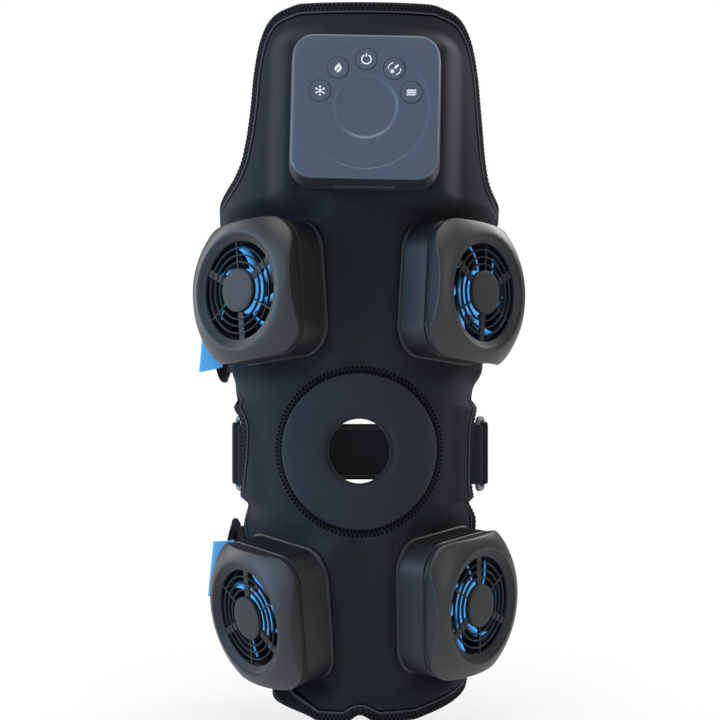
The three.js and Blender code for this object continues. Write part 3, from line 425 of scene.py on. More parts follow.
def plain_material(name, color, roughness, metallic=0.0, variation=0.15, mottle=60, grain=2500,
                   grain_depth=0.00004, roughness_spread=0.08, sheen=0.0, painted_glow=None, coat=0.0,
                   weave=None, specular=0.5, painted_depth_shade=None):
    """A Principled material whose colour, roughness and fine relief vary with noise.

    weave is (pitch in metres, depth in metres, coordinate): crossed ribs of a knit or a webbing.
    The shade argument, (low, high, share), is painted shade: below the high local level the colour darkens to
    a share at the low one.
    The glow argument is (colour, strength), a painted glow, and a material with painted shade glows in its
    own shaded colour instead.
    """
    made = bpy.data.materials.new(name)
    tree = empty_tree(made)
    place = add_node(tree, "ShaderNodeTexCoord").outputs
    mottling = add_node(tree, "ShaderNodeTexNoise", {
        "Vector": place["Object"], "Scale": mottle, "Detail": 5.0, "Roughness": 0.6,
    }).outputs["Fac"]
    base = add_node(tree, "ShaderNodeMix", {
        "Factor": mottling,
        "A": (*[c * (1 - variation) for c in color], 1),
        "B": (*[min(c * (1 + variation), 1) for c in color], 1),
    }, data_type="RGBA").outputs["Result"]
    height = add_node(tree, "ShaderNodeTexNoise", {
        "Vector": place["Object"], "Scale": grain, "Detail": 3.0, "Roughness": 0.65,
    }).outputs["Fac"]
    if weave:
        pitch, depth, coordinate = weave
        ribs = [add_node(tree, "ShaderNodeTexWave", {
            "Vector": place[coordinate], "Scale": 0.314 / pitch, "Distortion": 1.2, "Detail": 1.0,
            "Detail Scale": 2.0,
        }, bands_direction=axis).outputs["Fac"] for axis in ("X", "Y" if coordinate == "UV" else "Z")]
        crossed = add_node(tree, "ShaderNodeMath", {0: ribs[0], 1: ribs[1]}, operation="MULTIPLY").outputs[0]
        height = add_node(tree, "ShaderNodeMath", {0: height, 1: grain_depth / depth, 2: crossed},
                          operation="MULTIPLY_ADD").outputs[0]
        grain_depth = depth
        base = add_node(tree, "ShaderNodeMix", {"Factor": 0.45, "A": base, "B": crossed},
                        data_type="RGBA", blend_type="MULTIPLY").outputs["Result"]
    # Painted shade: the colour darkens from the high local level down to the low one, standing in for shade
    # deep inside a part.
    if painted_depth_shade:
        split = add_node(tree, "ShaderNodeSeparateXYZ", {0: place["Object"]})
        ramp = add_node(tree, "ShaderNodeMapRange", {
            "Value": split.outputs["Z"], "From Min": painted_depth_shade[0], "From Max": painted_depth_shade[1],
            "To Min": painted_depth_shade[2], "To Max": 1.0,
        }, interpolation_type="SMOOTHSTEP")
        base = add_node(tree, "ShaderNodeMix", {"Factor": 1.0, "A": base, "B": ramp.outputs["Result"]},
                        data_type="RGBA", blend_type="MULTIPLY").outputs["Result"]
    relief = add_node(tree, "ShaderNodeBump", {"Height": height, "Strength": 1.0, "Distance": grain_depth})
    spread = add_node(tree, "ShaderNodeMapRange", {
        "Value": mottling, "To Min": max(roughness - roughness_spread, 0.03),
        "To Max": min(roughness + roughness_spread, 1),
    })
    inputs = {
        "Base Color": base, "Normal": relief.outputs[0], "Roughness": spread.outputs["Result"],
        "Metallic": metallic, "Specular IOR Level": specular,
    }
    if sheen:
        inputs |= {"Sheen Weight": sheen, "Sheen Roughness": 0.45, "Sheen Tint": (0.8, 0.85, 1.0, 1)}
    if coat:
        inputs |= {"Coat Weight": coat, "Coat Roughness": 0.12}
    # Painted glow: the surface gives off light of its own, though it is no lamp.
    if painted_glow:
        inputs |= {"Emission Color": base if painted_depth_shade else (*painted_glow[0], 1), "Emission Strength": painted_glow[1]}
    shader = add_node(tree, "ShaderNodeBsdfPrincipled", inputs)
    add_node(tree, "ShaderNodeOutputMaterial", {0: shader.outputs[0]})
    return made


KNIT = {
    "mottle": 420, "grain": 1900, "grain_depth": 0.00012, "weave": (0.0009, 0.00006, "Object"),
    "specular": 0.3,
}
SPUN = {"mottle": 900, "grain": 3000}
MOULDED = {"variation": 0.06, "mottle": 90, "grain": 4200, "grain_depth": 0.000018, "roughness_spread": 0.05}
SATIN = {"variation": 0.05, "mottle": 70, "grain": 4200, "grain_depth": 0.000015, "roughness_spread": 0.04}
METAL = {"metallic": 1.0, "variation": 0.08, "grain": 3000}

NEOPRENE = plain_material("neoprene", (0.0118, 0.0158, 0.0222), 0.86, variation=0.22, sheen=0.06, **KNIT)
PAD_CLOTH = plain_material("pad_cloth", (0.0240, 0.0300, 0.0405), 0.86, variation=0.2, sheen=0.10, **KNIT)
LINING = plain_material("lining", (0.020, 0.021, 0.024), 0.92, variation=0.2, mottle=500, grain=1500,
                        grain_depth=0.00012, sheen=0.12, weave=(0.0012, 0.00008, "Object"), specular=0.25)
BINDING = plain_material("binding", (0.0115, 0.0130, 0.0170), 0.85, mottle=300, grain=1200,
                         grain_depth=0.0001, sheen=0.1, weave=(0.0010, 0.0001, "UV"), specular=0.3)
WELT = plain_material("welt", (0.055, 0.060, 0.072), 0.75, mottle=300, grain=1600, sheen=0.1, specular=0.35)
# Near-black thread: the stitch beads are made as dark as the shade in needle holes, so they are partly
# painted shade, and the same material makes the strip of painted groove shade beside the welt.
THREAD_AND_SHADE = plain_material("thread_and_shade", (0.0012, 0.0013, 0.0017), 0.9, specular=0.08, **SPUN)
LIGHT_THREAD = plain_material("light_thread", (0.105, 0.088, 0.060), 0.75, specular=0.3, **SPUN)
WEBBING = plain_material("webbing", (0.014, 0.015, 0.018), 0.88, mottle=350, grain=1500, grain_depth=0.0001,
                         sheen=0.10, weave=(0.0016, 0.00022, "UV"), specular=0.3)
LOOP_CLOTH = plain_material("loop_webbing", (0.0215, 0.0260, 0.0350), 0.85, mottle=350, grain=1500,
                            grain_depth=0.00005, weave=(0.0016, 0.00012, "UV"), specular=0.2)
HOOK_PILE = plain_material("hook_pile", (0.011, 0.012, 0.014), 0.95, mottle=900, grain=1100,
                           grain_depth=0.0005, sheen=0.15, specular=0.2)
# Pull tabs: a painted blue glow brightens the cloth beyond what the lamps give it.
TAB_CLOTH = plain_material("tab_cloth", (0.130, 0.520, 1.0), 0.9, variation=0.10, mottle=260, grain=900,
                           grain_depth=0.00025, sheen=0.15, weave=(0.0013, 0.00015, "UV"), specular=0.2,
                           painted_glow=((0.07, 0.31, 0.70), 0.75))
CHARCOAL = plain_material("charcoal_plastic", (0.0170, 0.0175, 0.0200), 0.44, **MOULDED)
HOUSING = plain_material("housing_plastic", (0.0105, 0.0112, 0.0135), 0.47, specular=0.40, **MOULDED)
BEZEL = plain_material("bezel_plastic", (0.0165, 0.0175, 0.0210), 0.48, variation=0.05, mottle=90,
                       grain=4200, grain_depth=0.000014, roughness_spread=0.04, specular=0.3)
HUB = plain_material("hub_plastic", (0.0100, 0.0108, 0.0135), 0.58, **MOULDED | {"variation": 0.05})
SLATE = plain_material("slate_plastic", (0.0670, 0.0920, 0.1310), 0.40, **SATIN)
SHELL_WALL = plain_material("shell_wall", (0.0230, 0.0260, 0.0330), 0.40, **SATIN)
SLATE_DISC = plain_material("slate_disc", (0.0610, 0.0830, 0.1190), 0.46, **SATIN)
BASE_SHELL = plain_material("base_plastic", (0.036, 0.040, 0.048), 0.5, variation=0.06, mottle=80,
                            grain=4200, grain_depth=0.000018)
# Printed icons: a faint painted glow brightens the white print.
ICON = plain_material("icon_print", (0.86, 0.88, 0.90), 0.55, variation=0.02, mottle=900, grain=4000,
                      grain_depth=0.00001, painted_glow=((0.85, 0.9, 1.0), 0.25))
# Fan blades: painted shade darkens them towards their lower edges, and a painted blue glow stands in for the
# light that lights them blue.
BLADE = plain_material("blade_plastic", (0.060, 0.380, 0.950), 0.18, painted_depth_shade=(0.0208, 0.0241, 0.01), mottle=120,
                       grain=3000, grain_depth=0.00001, coat=0.6, painted_glow=((0.04, 0.34, 0.90), 0.9))
FAN_BLACK = plain_material("fan_plastic", (0.010, 0.011, 0.013), 0.55, mottle=120, grain=3500)
ANODISED = plain_material("dark_aluminium", (0.030, 0.031, 0.034), 0.5, metallic=0.6, variation=0.08,
                          mottle=220)
RING_GREY = plain_material("ring_plastic", (0.150, 0.163, 0.185), 0.42, variation=0.08, mottle=140,
                           grain=3500, grain_depth=0.00003)
RUBBER = plain_material("rubber", (0.012, 0.012, 0.014), 0.68, mottle=200, grain=2600, specular=0.4)
ALUMINIUM = plain_material("aluminium", (0.52, 0.54, 0.57), 0.32, mottle=220, grain_depth=0.00002,
                           roughness_spread=0.1, **METAL)
STEEL = plain_material("steel", (0.42, 0.43, 0.45), 0.28, mottle=260, **METAL)
CERAMIC = plain_material("ceramic", (0.78, 0.76, 0.71), 0.6, variation=0.04, mottle=400, grain=2400)
BOARD = plain_material("solder_mask", (0.014, 0.085, 0.040), 0.38, variation=0.25, mottle=500, grain=2600)
CELL_WRAP = plain_material("cell_wrap", (0.11, 0.12, 0.13), 0.3, variation=0.1, mottle=60, grain=1500,
                           coat=0.3)

# Solids whose shape is kept, with their finish
KEPT = {
    "circuit_board": BOARD, "battery_pack": CELL_WRAP, "charge_port": STEEL, "controller_base": BASE_SHELL,
}
INNER = {
    "fan_frame": FAN_BLACK, "heat_sink": ANODISED, "peltier_tile": CERAMIC, "thermal_plate": ALUMINIUM,
    "vibration_motor": STEEL,
}
for module in MODULES:
    KEPT |= {f"{module}_{part}": finish for part, finish in INNER.items()}
for node, finish in KEPT.items():
    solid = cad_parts[node]
    solid.data.materials.clear()
    solid.data.materials.append(finish)


# Modules

def dome(radius):
    """Height of a module's domed face at a distance from the fan's axis."""
    return MODULE_DEPTH - np.maximum(radius - DOME_START, 0) ** 2 / DOME_SPREAD


def bowed(half, corner, bow):
    """A rounded square whose sides bulge in the middle."""
    outline = rounded_square(half, corner, SIDES)
    size = np.abs(outline)
    ratio = size.min(axis=1) / size.max(axis=1)
    return outline * (1 + bow / half * (1 - ratio**2))[:, None]


def cover_shell():
    wall, edge, bow_at_face = 2.0, 0.7, 1.4
    # a fine groove runs just above the parting line
    loops = [level(rounded_square(MODULE_HALF - inset, MODULE_CORNER, SIDES), MODULE_PARTING + rise)
             for inset, rise in ((0.5, 0), (0.1, 0.3), (0.05, 1.2), (0.4, 1.3), (0.4, 1.55), (-0.05, 1.65))]
    # the side wall swells out to the rounded edge of the face
    for share, bow in ((0.3, 0.35), (0.65, 0.9), (0.9, 1.25)):
        side = level(bowed(MODULE_HALF, MODULE_CORNER, bow), dome)
        side[:, 2] = MODULE_PARTING + (side[:, 2] - edge - MODULE_PARTING) * share
        loops.append(side)
    for turn in np.radians(np.arange(0, 91, 15)):
        ring = bowed(MODULE_HALF - edge * (1 - math.cos(turn)), MODULE_CORNER, bow_at_face)
        loops.append(level(ring, lambda r, t=turn: dome(r) - edge * (1 - math.sin(t))))
    rim, face = circle(BEZEL_RADIUS + 0.5, SIDES), bowed(MODULE_HALF - edge, MODULE_CORNER, bow_at_face)
    loops += [level(face * (1 - share) + rim * share, dome) for share in (0.25, 0.5, 0.75, 0.94)]
    loops.append(level(rim, lambda r: dome(r) - 0.1))
    for out, drop in ((0.1, 0.5), (-0.1, 1.6)):
        loops.append(level(circle(BEZEL_RADIUS + out, SIDES), MODULE_DEPTH - drop))
    inside = rounded_square(MODULE_HALF - wall, MODULE_CORNER - wall, SIDES)
    loops += [level(inside, lambda r: dome(r) - wall), level(inside, MODULE_PARTING)]
    return skin_loops(loops, ring=True)


def grille_parts(upper):
    """The sunk funnel with the rings and spokes in one mesh, and the hub cap in another."""
    outer, opening = BEZEL_RADIUS, GRILLE_OPENING
    profile = [(outer, 31.6), (outer + 0.05, MODULE_DEPTH - 0.75), (outer - 0.35, MODULE_DEPTH - 0.72),
               (outer - 1.2, 32.6), (opening + 1.5, 31.55), (opening + 0.5, 31.25), (opening + 0.1, 30.95),
               (opening, 30.4), (opening, GRILLE_FLOOR), (opening + 1.2, GRILLE_FLOOR)]
    parts = [turned(profile, ring=True)]
    section = [(-0.42, 0), (-0.42, 1.3), (-0.22, 1.55), (0.22, 1.55), (0.42, 1.3), (0.42, 0)]
    for share in GRILLE_RINGS:
        rim = [(share * opening + dr, GRILLE_FLOOR + 0.1 + dz) for dr, dz in section]
        parts.append(turned(rim, ring=True))
    for spoke in range(6):
        wide = spoke % 2 == 0
        angle = math.radians((30 if upper else 90) + 60 * spoke)
        width, high = (4.2, 30.6) if wide else (0.85, 30.9)
        along = np.array([math.cos(angle), math.sin(angle)])
        across = np.array([-along[1], along[0]]) * width / 2
        near, far = along * (GRILLE_HUB - 0.6), along * (opening + 0.4)
        corners = np.array([near - across, far - across, far + across, near + across])
        parts.append(skin_loops([level(corners, GRILLE_FLOOR), level(corners, high)]))
    hub = [(GRILLE_HUB, GRILLE_FLOOR), (GRILLE_HUB, 31.9), (GRILLE_HUB - 0.25, 32.25),
           (GRILLE_HUB - 0.8, 32.4), (GRILLE_HUB * 0.7, 32.45), (GRILLE_HUB * 0.35, 32.45)]
    return merge_parts(parts), turned(hub, 96)


def housing_shell():
    wall, floor, pocket_top, top = 2, 2.6, -1.2, MODULE_PARTING - 0.4
    side = (
        (0.9, 0), (1.0, 0.5), (0.9, 1.3), (0.55, 1.75), (-0.05, 2.1), (0, 3.0), (0, top - 0.7), (-0.7, top),
    )
    loops = [level(rounded_square(MODULE_HALF + swell, MODULE_CORNER, SIDES), z) for swell, z in side]
    steps = (
        (MODULE_HALF - wall, MODULE_CORNER - wall, top, floor),
        (WINDOW_HALF, WINDOW_CORNER, floor, pocket_top),
        (POCKET_HALF, POCKET_CORNER, pocket_top, -COLLAR_DROP),
        (COLLAR_HALF, COLLAR_CORNER, -COLLAR_DROP, 0),
    )
    for half, corner, *levels in steps:
        loops += [level(rounded_square(half, corner, SIDES), z) for z in levels]
    return skin_loops(loops, ring=True)


def louvre_cutters():
    cutters = []
    for row in range(4):
        for side in (-1, 1):
            loops = [[(x, side * y, LOUVRE_LEVEL + LOUVRE_PITCH * row + z)
                      for x, z in obround(LOUVRE_LENGTH, LOUVRE_HEIGHT, 7)]
                     for y in (MODULE_HALF - 3.2, MODULE_HALF + 2)]
            points, faces = skin_loops(loops)
            cutters.append((points, [f[::-1] for f in faces] if side > 0 else faces))
    return cutters


def impeller_parts():
    """Swept, cupped blades on a hub cup."""
    hub = [(11.8, 23.3), (11.8, 17.1), (13.0, 17.1), (13.0, 23.9), (12.4, 24.5), (6.0, 24.6)]
    parts = [turned(hub, 64)]
    for blade in range(BLADES):
        loops = []
        for share in np.arange(9) / 8:
            radius = BLADE_ROOT + (BLADE_TIP - BLADE_ROOT) * share
            at = np.arange(9) / 8
            lead = blade * 2 * math.pi / BLADES + math.radians(34) * share**1.2
            angle = lead + math.radians(27) * (1 - 0.25 * share) * at
            z = BLADE_LEVEL + BLADE_RISE * at + BLADE_CUP * np.sin(math.pi * at) * (1 - at)
            upper = np.stack([radius * np.cos(angle), radius * np.sin(angle), z], 1)
            loops.append(np.vstack([upper, (upper - [0, 0, BLADE_THICKNESS])[::-1]]))
        points, faces = skin_loops(loops)
        parts.append((points, [f[::-1] for f in faces]))
    return merge_parts(parts)


for module, seat in MODULES.items():
    cover = new_object(f"{module}_cover", cover_shell(), CHARCOAL, "wrap", seat, 50)
    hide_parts(f"{module}_front_cover")
    grille, hub_cap = grille_parts(module.startswith("upper"))
    bars = new_object(f"{module}_grille_bars", grille, BEZEL, "wrap", seat, 40)
    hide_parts(f"{module}_grille")
    cap = new_object(f"{module}_grille_hub", hub_cap, HUB, "wrap", seat, 60)
    housing = new_object(f"{module}_housing", housing_shell(), HOUSING, "wrap", seat, 40)
    cut(housing, louvre_cutters(), 40)
    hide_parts(f"{module}_rear_housing")
    fan = new_object(f"{module}_fan", impeller_parts(), BLADE, f"{module}_impeller_body", seat, 50)
    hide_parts(f"{module}_impeller")


# Controller

def controller_shell():
    edge, draft, wall, top, bottom = 1.5, 1.5, 2.4, CONTROLLER_THICKNESS, CONTROLLER_PARTING + 0.3
    inner = rounded_square(CONTROLLER_HALF - wall, CONTROLLER_CORNER - wall, SHELL_SIDES)
    loops = [level(inner, 20.5), level(inner, bottom)]
    for inset, z in ((0.4, bottom), (0, CONTROLLER_PARTING + 0.8), (draft * 0.5, top * 0.65)):
        loops.append(level(rounded_square(CONTROLLER_HALF - inset, CONTROLLER_CORNER, SHELL_SIDES), z))
    for turn in np.radians(np.arange(0, 91, 15)):
        inset = draft + edge * (1 - math.cos(turn))
        ring = rounded_square(CONTROLLER_HALF - inset, CONTROLLER_CORNER - 0.6 * inset, SHELL_SIDES)
        loops.append(level(ring, top - edge * (1 - math.sin(turn))))
    rings = [
        (FACE_DISC_RADIUS + 0.25, 0.0), (FACE_DISC_RADIUS, -0.05), (FACE_DISC_RADIUS - 0.25, -0.3),
        (DISH_RADIUS + 1.2, -0.3), (DISH_RADIUS + 0.5, -0.36), (DISH_RADIUS, -0.62),
        (DISH_RADIUS - 0.5, -1.05), (DISH_RADIUS - 1.1, -1.35), (DISH_RADIUS - 2.0, -1.47),
        (DISH_RADIUS * 0.6, -1.5), (DISH_RADIUS * 0.2, -1.5),
    ]
    return skin_loops(loops + [level(circle(radius, SHELL_SIDES), top + drop) for radius, drop in rings])


def button_place(name):
    angle = math.radians(BUTTONS[name])
    return BUTTON_CIRCLE * math.cos(angle), BUTTON_CIRCLE * math.sin(angle)


def button_cutters():
    return [turned([(BUTTON_RADIUS + 0.3, z) for z in (18.0, 27.0)], BUTTON_SIDES, False, *button_place(name))
            for name in BUTTONS]


def on_lower_side(outline, near):
    """A prism that runs out of the controller's lower side, at the port's level."""
    return skin_loops([[(x, -y, PORT_LEVEL + z) for x, z in outline] for y in (near, CONTROLLER_HALF + 3.5)])


def cap_shell(name):
    profile = [
        (2.0, 16.8), (2.0, 19.3), (7.0, 19.3), (7.0, 20.5), (BUTTON_RADIUS, 20.5), (BUTTON_RADIUS, 23.55),
        (BUTTON_RADIUS - 0.12, 23.82), (BUTTON_RADIUS - 0.4, 23.98), (BUTTON_RADIUS - 0.9, 23.96),
        (BUTTON_RADIUS * 0.6, 23.78), (BUTTON_RADIUS * 0.25, 23.72),
    ]
    return turned(profile, BUTTON_SIDES, False, *button_place(name))


def arc(radius, start, stop, count=28):
    turn = np.radians(np.linspace(start, stop, count))
    return radius * np.stack([np.cos(turn), np.sin(turn)], 1)


def icon_strokes(name):
    """(line, width) pairs of a plain symbol, centred on 0, 0."""
    if name == "power":
        return [(arc(2.6, 116, 424, 48), 0.56), ([(0, 1.5), (0, 3.4)], 0.6)]
    if name == "cold":
        strokes = []
        for arm in range(6):
            turn = math.radians(90 + 60 * arm)
            along = np.array([math.cos(turn), math.sin(turn)])
            across = np.array([-along[1], along[0]])
            strokes.append(([along * 0.1, along * 2.95], 0.38))
            for side in (-1, 1):
                strokes.append(([along * 2.0, along * 2.65 + across * side * 0.6], 0.26))
        return strokes
    if name == "heat":
        left = [(-1.2, -1.55), (-1.35, -0.7), (-0.8, 0.2), (0.05, 1.0), (0.45, 1.9), (0.4, 2.8)]
        right = [(-0.35, -2.75), (0.05, -1.9), (0.9, -1.05), (1.4, -0.15), (1.3, 0.7), (1.1, 1.5)]
        taper = 1.35 * np.sin(np.linspace(0.12, 1, 20) * math.pi * 0.97) ** 0.8
        return [(smooth_line(left), taper), (smooth_line(right), taper)]
    if name == "contrast":
        strokes = [(arc(3.5, 100, 185), 0.42), (arc(3.5, 285, 365), 0.42)]
        for x, y in ((0.6, 0.9), (1.6, 1.3)):
            flame = [(x - 0.3, y - 0.9), (x - 0.3, y - 0.2), (x + 0.3, y + 0.4), (x + 0.35, y + 1.2)]
            strokes.append((smooth_line(flame), 0.62))
        for arm in range(4):
            turn = math.radians(90 + 45 * arm)
            along = np.array([math.cos(turn), math.sin(turn)]) * 1.35
            middle = np.array([-1.2, -1.5])
            strokes.append(([middle - along, middle + along], 0.3))
        return strokes
    x = np.linspace(-2.6, 2.6, 49)
    wave = 0.34 * np.sin(x * 2 * math.pi / 1.73)
    return [(np.stack([x, row + wave], 1), 0.44) for row in (-1.25, 0, 1.25)]


def smooth_line(points):
    """A smooth line through a few points in a plane, in about 24 steps."""
    points = np.asarray(points, float)
    padded = np.vstack([2 * points[0] - points[1], points, 2 * points[-1] - points[-2]])
    line = []
    spans = len(points) - 1
    for i in range(spans):
        p0, p1, p2, p3 = padded[i:i + 4]
        for t in np.linspace(0, 1, 24 // spans, endpoint=(i == spans - 1)):
            line.append(0.5 * (2 * p1 + (p2 - p0) * t + (2 * p0 - 5 * p1 + 4 * p2 - p3) * t**2
                               + (3 * p1 - p0 - 3 * p2 + p3) * t**3))
    return np.array(line)


shell = new_object("controller_face", controller_shell(), SLATE, "wrap", CONTROLLER_SEAT, 40)
second_material(shell, SHELL_WALL, [int(2 <= i // SHELL_SIDES < 5) for i in range(len(shell.data.polygons))])
recess = on_lower_side(obround(PORT_COVER_WIDTH + 2.0, PORT_COVER_HEIGHT + 1.2, 9), CONTROLLER_HALF - 2.2)
cut(shell, button_cutters() + [recess], 35)
cut(shell, [on_lower_side(obround(10, 4.2, 9), CONTROLLER_HALF - 5)], 35)
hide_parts("controller_cover")

for name in BUTTONS:
    body = f"{name}_button_body"
    cap = new_object(f"{name}_cap", cap_shell(name), SLATE_DISC, body, CONTROLLER_SEAT, 50)
    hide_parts(f"{name}_button")
    strokes = [ribbon(np.asarray(line, float) + button_place(name), width)
               for line, width in icon_strokes(name)]
    icon = new_object(f"{name}_icon", merge_parts(strokes), ICON, body, CONTROLLER_SEAT)


def port_flap():
    loops = []
    for depth, inset in ((1.2, 0.0), (0.25, 0.0), (0.08, 0.08), (0.0, 0.25)):
        outline = obround(PORT_COVER_WIDTH - 2 * inset, PORT_COVER_HEIGHT - 2 * inset, 9)
        loops.append([(x, depth + 0.95 - CONTROLLER_HALF, PORT_LEVEL + z) for x, z in outline])
    return skin_loops(loops)


flap = new_object("port_flap", port_flap(), RUBBER, "port_cover_body", CONTROLLER_SEAT, 50)
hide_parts("port_cover")


# Wrap surface

SEATS = [(CONTROLLER_SEAT, CONTROLLER_HALF)] + [(seat, MODULE_HALF + 0.9) for seat in MODULES.values()]


def ease(at):
    at = np.clip(at, 0, 1)
    return at * at * (3 - 2 * at)


def eased_table(table, share, column, window):
    return np.mean([np.interp(share + s, table[:, 0], table[:, column]) for s in window], axis=0)


def leg_value(share, column):
    """The leg's section table, with its corners eased."""
    return eased_table(LEG_SECTION, share, column, np.linspace(-0.05, 0.05, 11))


def half_width(share, angle):
    """The leg's half width on the side that an angle is on."""
    return KNEE_HALF_WIDTH * np.where(np.sin(angle) < 0, leg_value(share, 1), leg_value(share, 2))


def edge_angle(height, side):
    """Angle of the panel's left or right edge from the front, with the table's corners eased."""
    share = (np.asarray(height, float) + HEM_DROP) / WRAP_HEIGHT
    left, right = (eased_table(EDGE_ANGLE, share, k, np.linspace(-0.004, 0.004, 5)) for k in (1, 2))
    return np.where(np.asarray(side) < 0, left, right) * math.pi / 2


def ear_lift(angle, height):
    """How far the ears beside the rings stand off the leg."""
    low, high = (share * WRAP_HEIGHT - HEM_DROP for share in EAR_SHARES)
    across = (abs(angle) / (math.pi / 2) - EAR_ANGLES[0]) / (EAR_ANGLES[1] - EAR_ANGLES[0])
    return EAR_LIFT * ease(across) * ease((height - low) / EAR_FADE) * ease((high - height) / EAR_FADE)


def wrap_at(angle, height):
    """Points of the wrap's outer surface, flattened under each housing's seat."""
    angle, height = np.broadcast_arrays(np.asarray(angle, float), np.asarray(height, float))
    share = (height + HEM_DROP) / WRAP_HEIGHT
    lift = ear_lift(angle, height)
    points = np.stack([WRAP_SIDE + (half_width(share, angle) + lift) * np.sin(angle),
                       -(KNEE_HALF_DEPTH * leg_value(share, 3) + lift) * np.cos(angle),
                       height + CROWN_RISE * ease((share - 0.93) / 0.07) * np.sin(angle) ** 2], -1)
    for seat, half in SEATS:
        turn = np.array(seat.to_3x3())
        origin = np.array(seat.translation) / MM
        local = (points - origin) @ turn
        outside = np.hypot(np.maximum(abs(local[..., 0]) - half, 0), np.maximum(abs(local[..., 1]) - half, 0))
        hold = np.where(abs(local[..., 2]) > half, 0, 1 - ease(outside / SEAT_BLEND))
        local[..., 2] += (-SEAT_SINK - local[..., 2]) * hold
        points = local @ turn.T + origin
    return points


def wrap_below(angle, height, depth):
    """Points at a depth below the wrap's outer surface."""
    step = 0.01
    rise = step * KNEE_HALF_DEPTH
    angle, height = np.asarray(angle, float), np.asarray(height, float)
    across = wrap_at(angle + step, height) - wrap_at(angle - step, height)
    upward = wrap_at(angle, height + rise) - wrap_at(angle, height - rise)
    return wrap_at(angle, height) - unit(np.cross(across, upward)) * depth


def panel_place(across, share):
    """Angle and height of a point of the panel, from its share of the width and of the height."""
    height = share * WRAP_HEIGHT - HEM_DROP
    notch = HEM_NOTCH_RISE * (1 - ease(abs(across) / 0.3)) * ease(1 - share / 0.09)
    return across * edge_angle(height, across), height + notch


def outline_places():
    """The panel's outline as angles and heights, from the hem up its right side and round."""
    shares = np.linspace(0, 1, 1600)
    right = np.stack(panel_place(np.ones(1600), shares), 1)
    top_across = np.linspace(1, -1, 400)[1:-1]
    top = np.stack(panel_place(top_across, np.ones(398)), 1)
    hem = np.stack(panel_place(-top_across, np.zeros(398)), 1)
    left = np.stack(panel_place(-np.ones(1600), shares), 1)[::-1]
    return np.vstack([right, top, left, hem])


def around(places):
    """Distances along a closed line of angles and heights, in millimetres."""
    return lengths(wrap_at(*np.vstack([places, places[:1]]).T))


def evenly(places, pitch):
    distance = around(places)
    count = int(round(distance[-1] / pitch))
    at = np.arange(count) / count * distance[-1]
    return along_line(at, distance, np.vstack([places, places[:1]]))


def soften(line, passes):
    """Rounds the corners of a closed line."""
    for _ in range(passes):
        line = 0.25 * np.roll(line, 1, 0) + 0.5 * line + 0.25 * np.roll(line, -1, 0)
    return line


EDGE = evenly(soften(evenly(outline_places(), 1.0), 6), 1.0)


def inward(places, reach):
    """A closed line of places moved into the panel by a distance."""
    step = 0.005
    ahead, behind = (wrap_at(places[:, 0] + shift, places[:, 1]) for shift in (step, -step))
    girth = np.linalg.norm(ahead - behind, axis=1) / (2 * step)
    run = np.roll(places, -2, 0) - np.roll(places, 2, 0)
    flat = unit(np.stack([run[:, 0] * girth, run[:, 1]], 1))
    return soften(places + np.stack([-flat[:, 1] / girth, flat[:, 0]], 1) * reach, 2)


def panel_slab():
    """The panel as a closed slab, a little short of its outline, and which faces are lining."""
    columns = 110
    knots = [(0, 0.05, 26), (0.05, 0.25, 60), (0.25, 0.47, 110), (0.47, 0.93, 130), (0.93, 1, 44)]
    shares = np.concatenate([np.linspace(a, b, n, endpoint=False) for a, b, n in knots] + [[1.0]])
    across = np.linspace(-1, 1, columns + 1)
    grid_across, grid_share = np.meshgrid(across, shares)
    angle, height = panel_place(grid_across, grid_share)
    angle = angle * (1 - 0.8 / 70)
    height = height + 0.8 * (1 - ease(grid_share / 0.02)) - 0.8 * ease((grid_share - 0.98) / 0.02)
    outer, inner = wrap_below(angle, height, 0.0), wrap_below(angle, height, PANEL_THICKNESS)
    points, faces = slab([np.vstack([o, i[::-1]]) for o, i in zip(outer, inner)])
    lined = [0] * (columns + 1) + [1] * (columns + 1)
    return (points, faces), lined * (len(shares) - 1) + [0] * (2 * columns)


def on_circle(radius, turn):
    """Angles and heights of the places that make a circle as seen from the front, found in small steps."""
    across, upward = radius * np.cos(turn), radius * np.sin(turn)
    angle, height = across / 70, upward
    for _ in range(30):
        points = wrap_at(angle, height)
        angle = angle + (across + WRAP_SIDE - points[:, 0]) / 80
        height = height + (upward - points[:, 2]) * 0.7
    return np.stack([angle, height], 1)


def ring_places(radius, count=SIDES, turn=0):
    return on_circle(radius, (np.arange(count) + turn) / count * 2 * np.pi)


def pad_ring(radius, depth):
    return wrap_below(*ring_places(radius).T, depth)


panel_shape, panel_lining = panel_slab()
panel = new_object("wrap_panel", panel_shape, NEOPRENE, "wrap", None, 60)
second_material(panel, LINING, panel_lining)
plugs = [skin_loops([pad_ring(PAD_RADIUS + 0.2, depth) for depth in (7, 4, 0, -24)])]
for seat in MODULES.values():
    outline = rounded_square(COLLAR_HALF + 0.3, COLLAR_CORNER, 96)
    plug_points, plug_faces = skin_loops([level(outline, -14), level(outline, 12)])
    placed = np.asarray(plug_points, float) @ np.array(seat.to_3x3()).T + np.array(seat.translation) / MM
    plugs.append((list(placed), plug_faces))
cut(panel, plugs, 45)
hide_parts("front_panel")


def swept(places, profile, name, material):
    """A closed section of (reach inward, depth) points carried round a line of places, with UVs in metres."""
    lines = {reach: inward(places, reach) for reach, _ in profile}
    points, faces = skin_loops([wrap_below(*lines[reach].T, depth) for reach, depth in profile], ring=True)
    along, girth = around(places)[:-1] * MM, lengths(profile) * MM
    uvs = np.array([(a, g) for g in girth for a in along])
    return new_object(name, (points, faces, uvs), material, "wrap", None, 50)


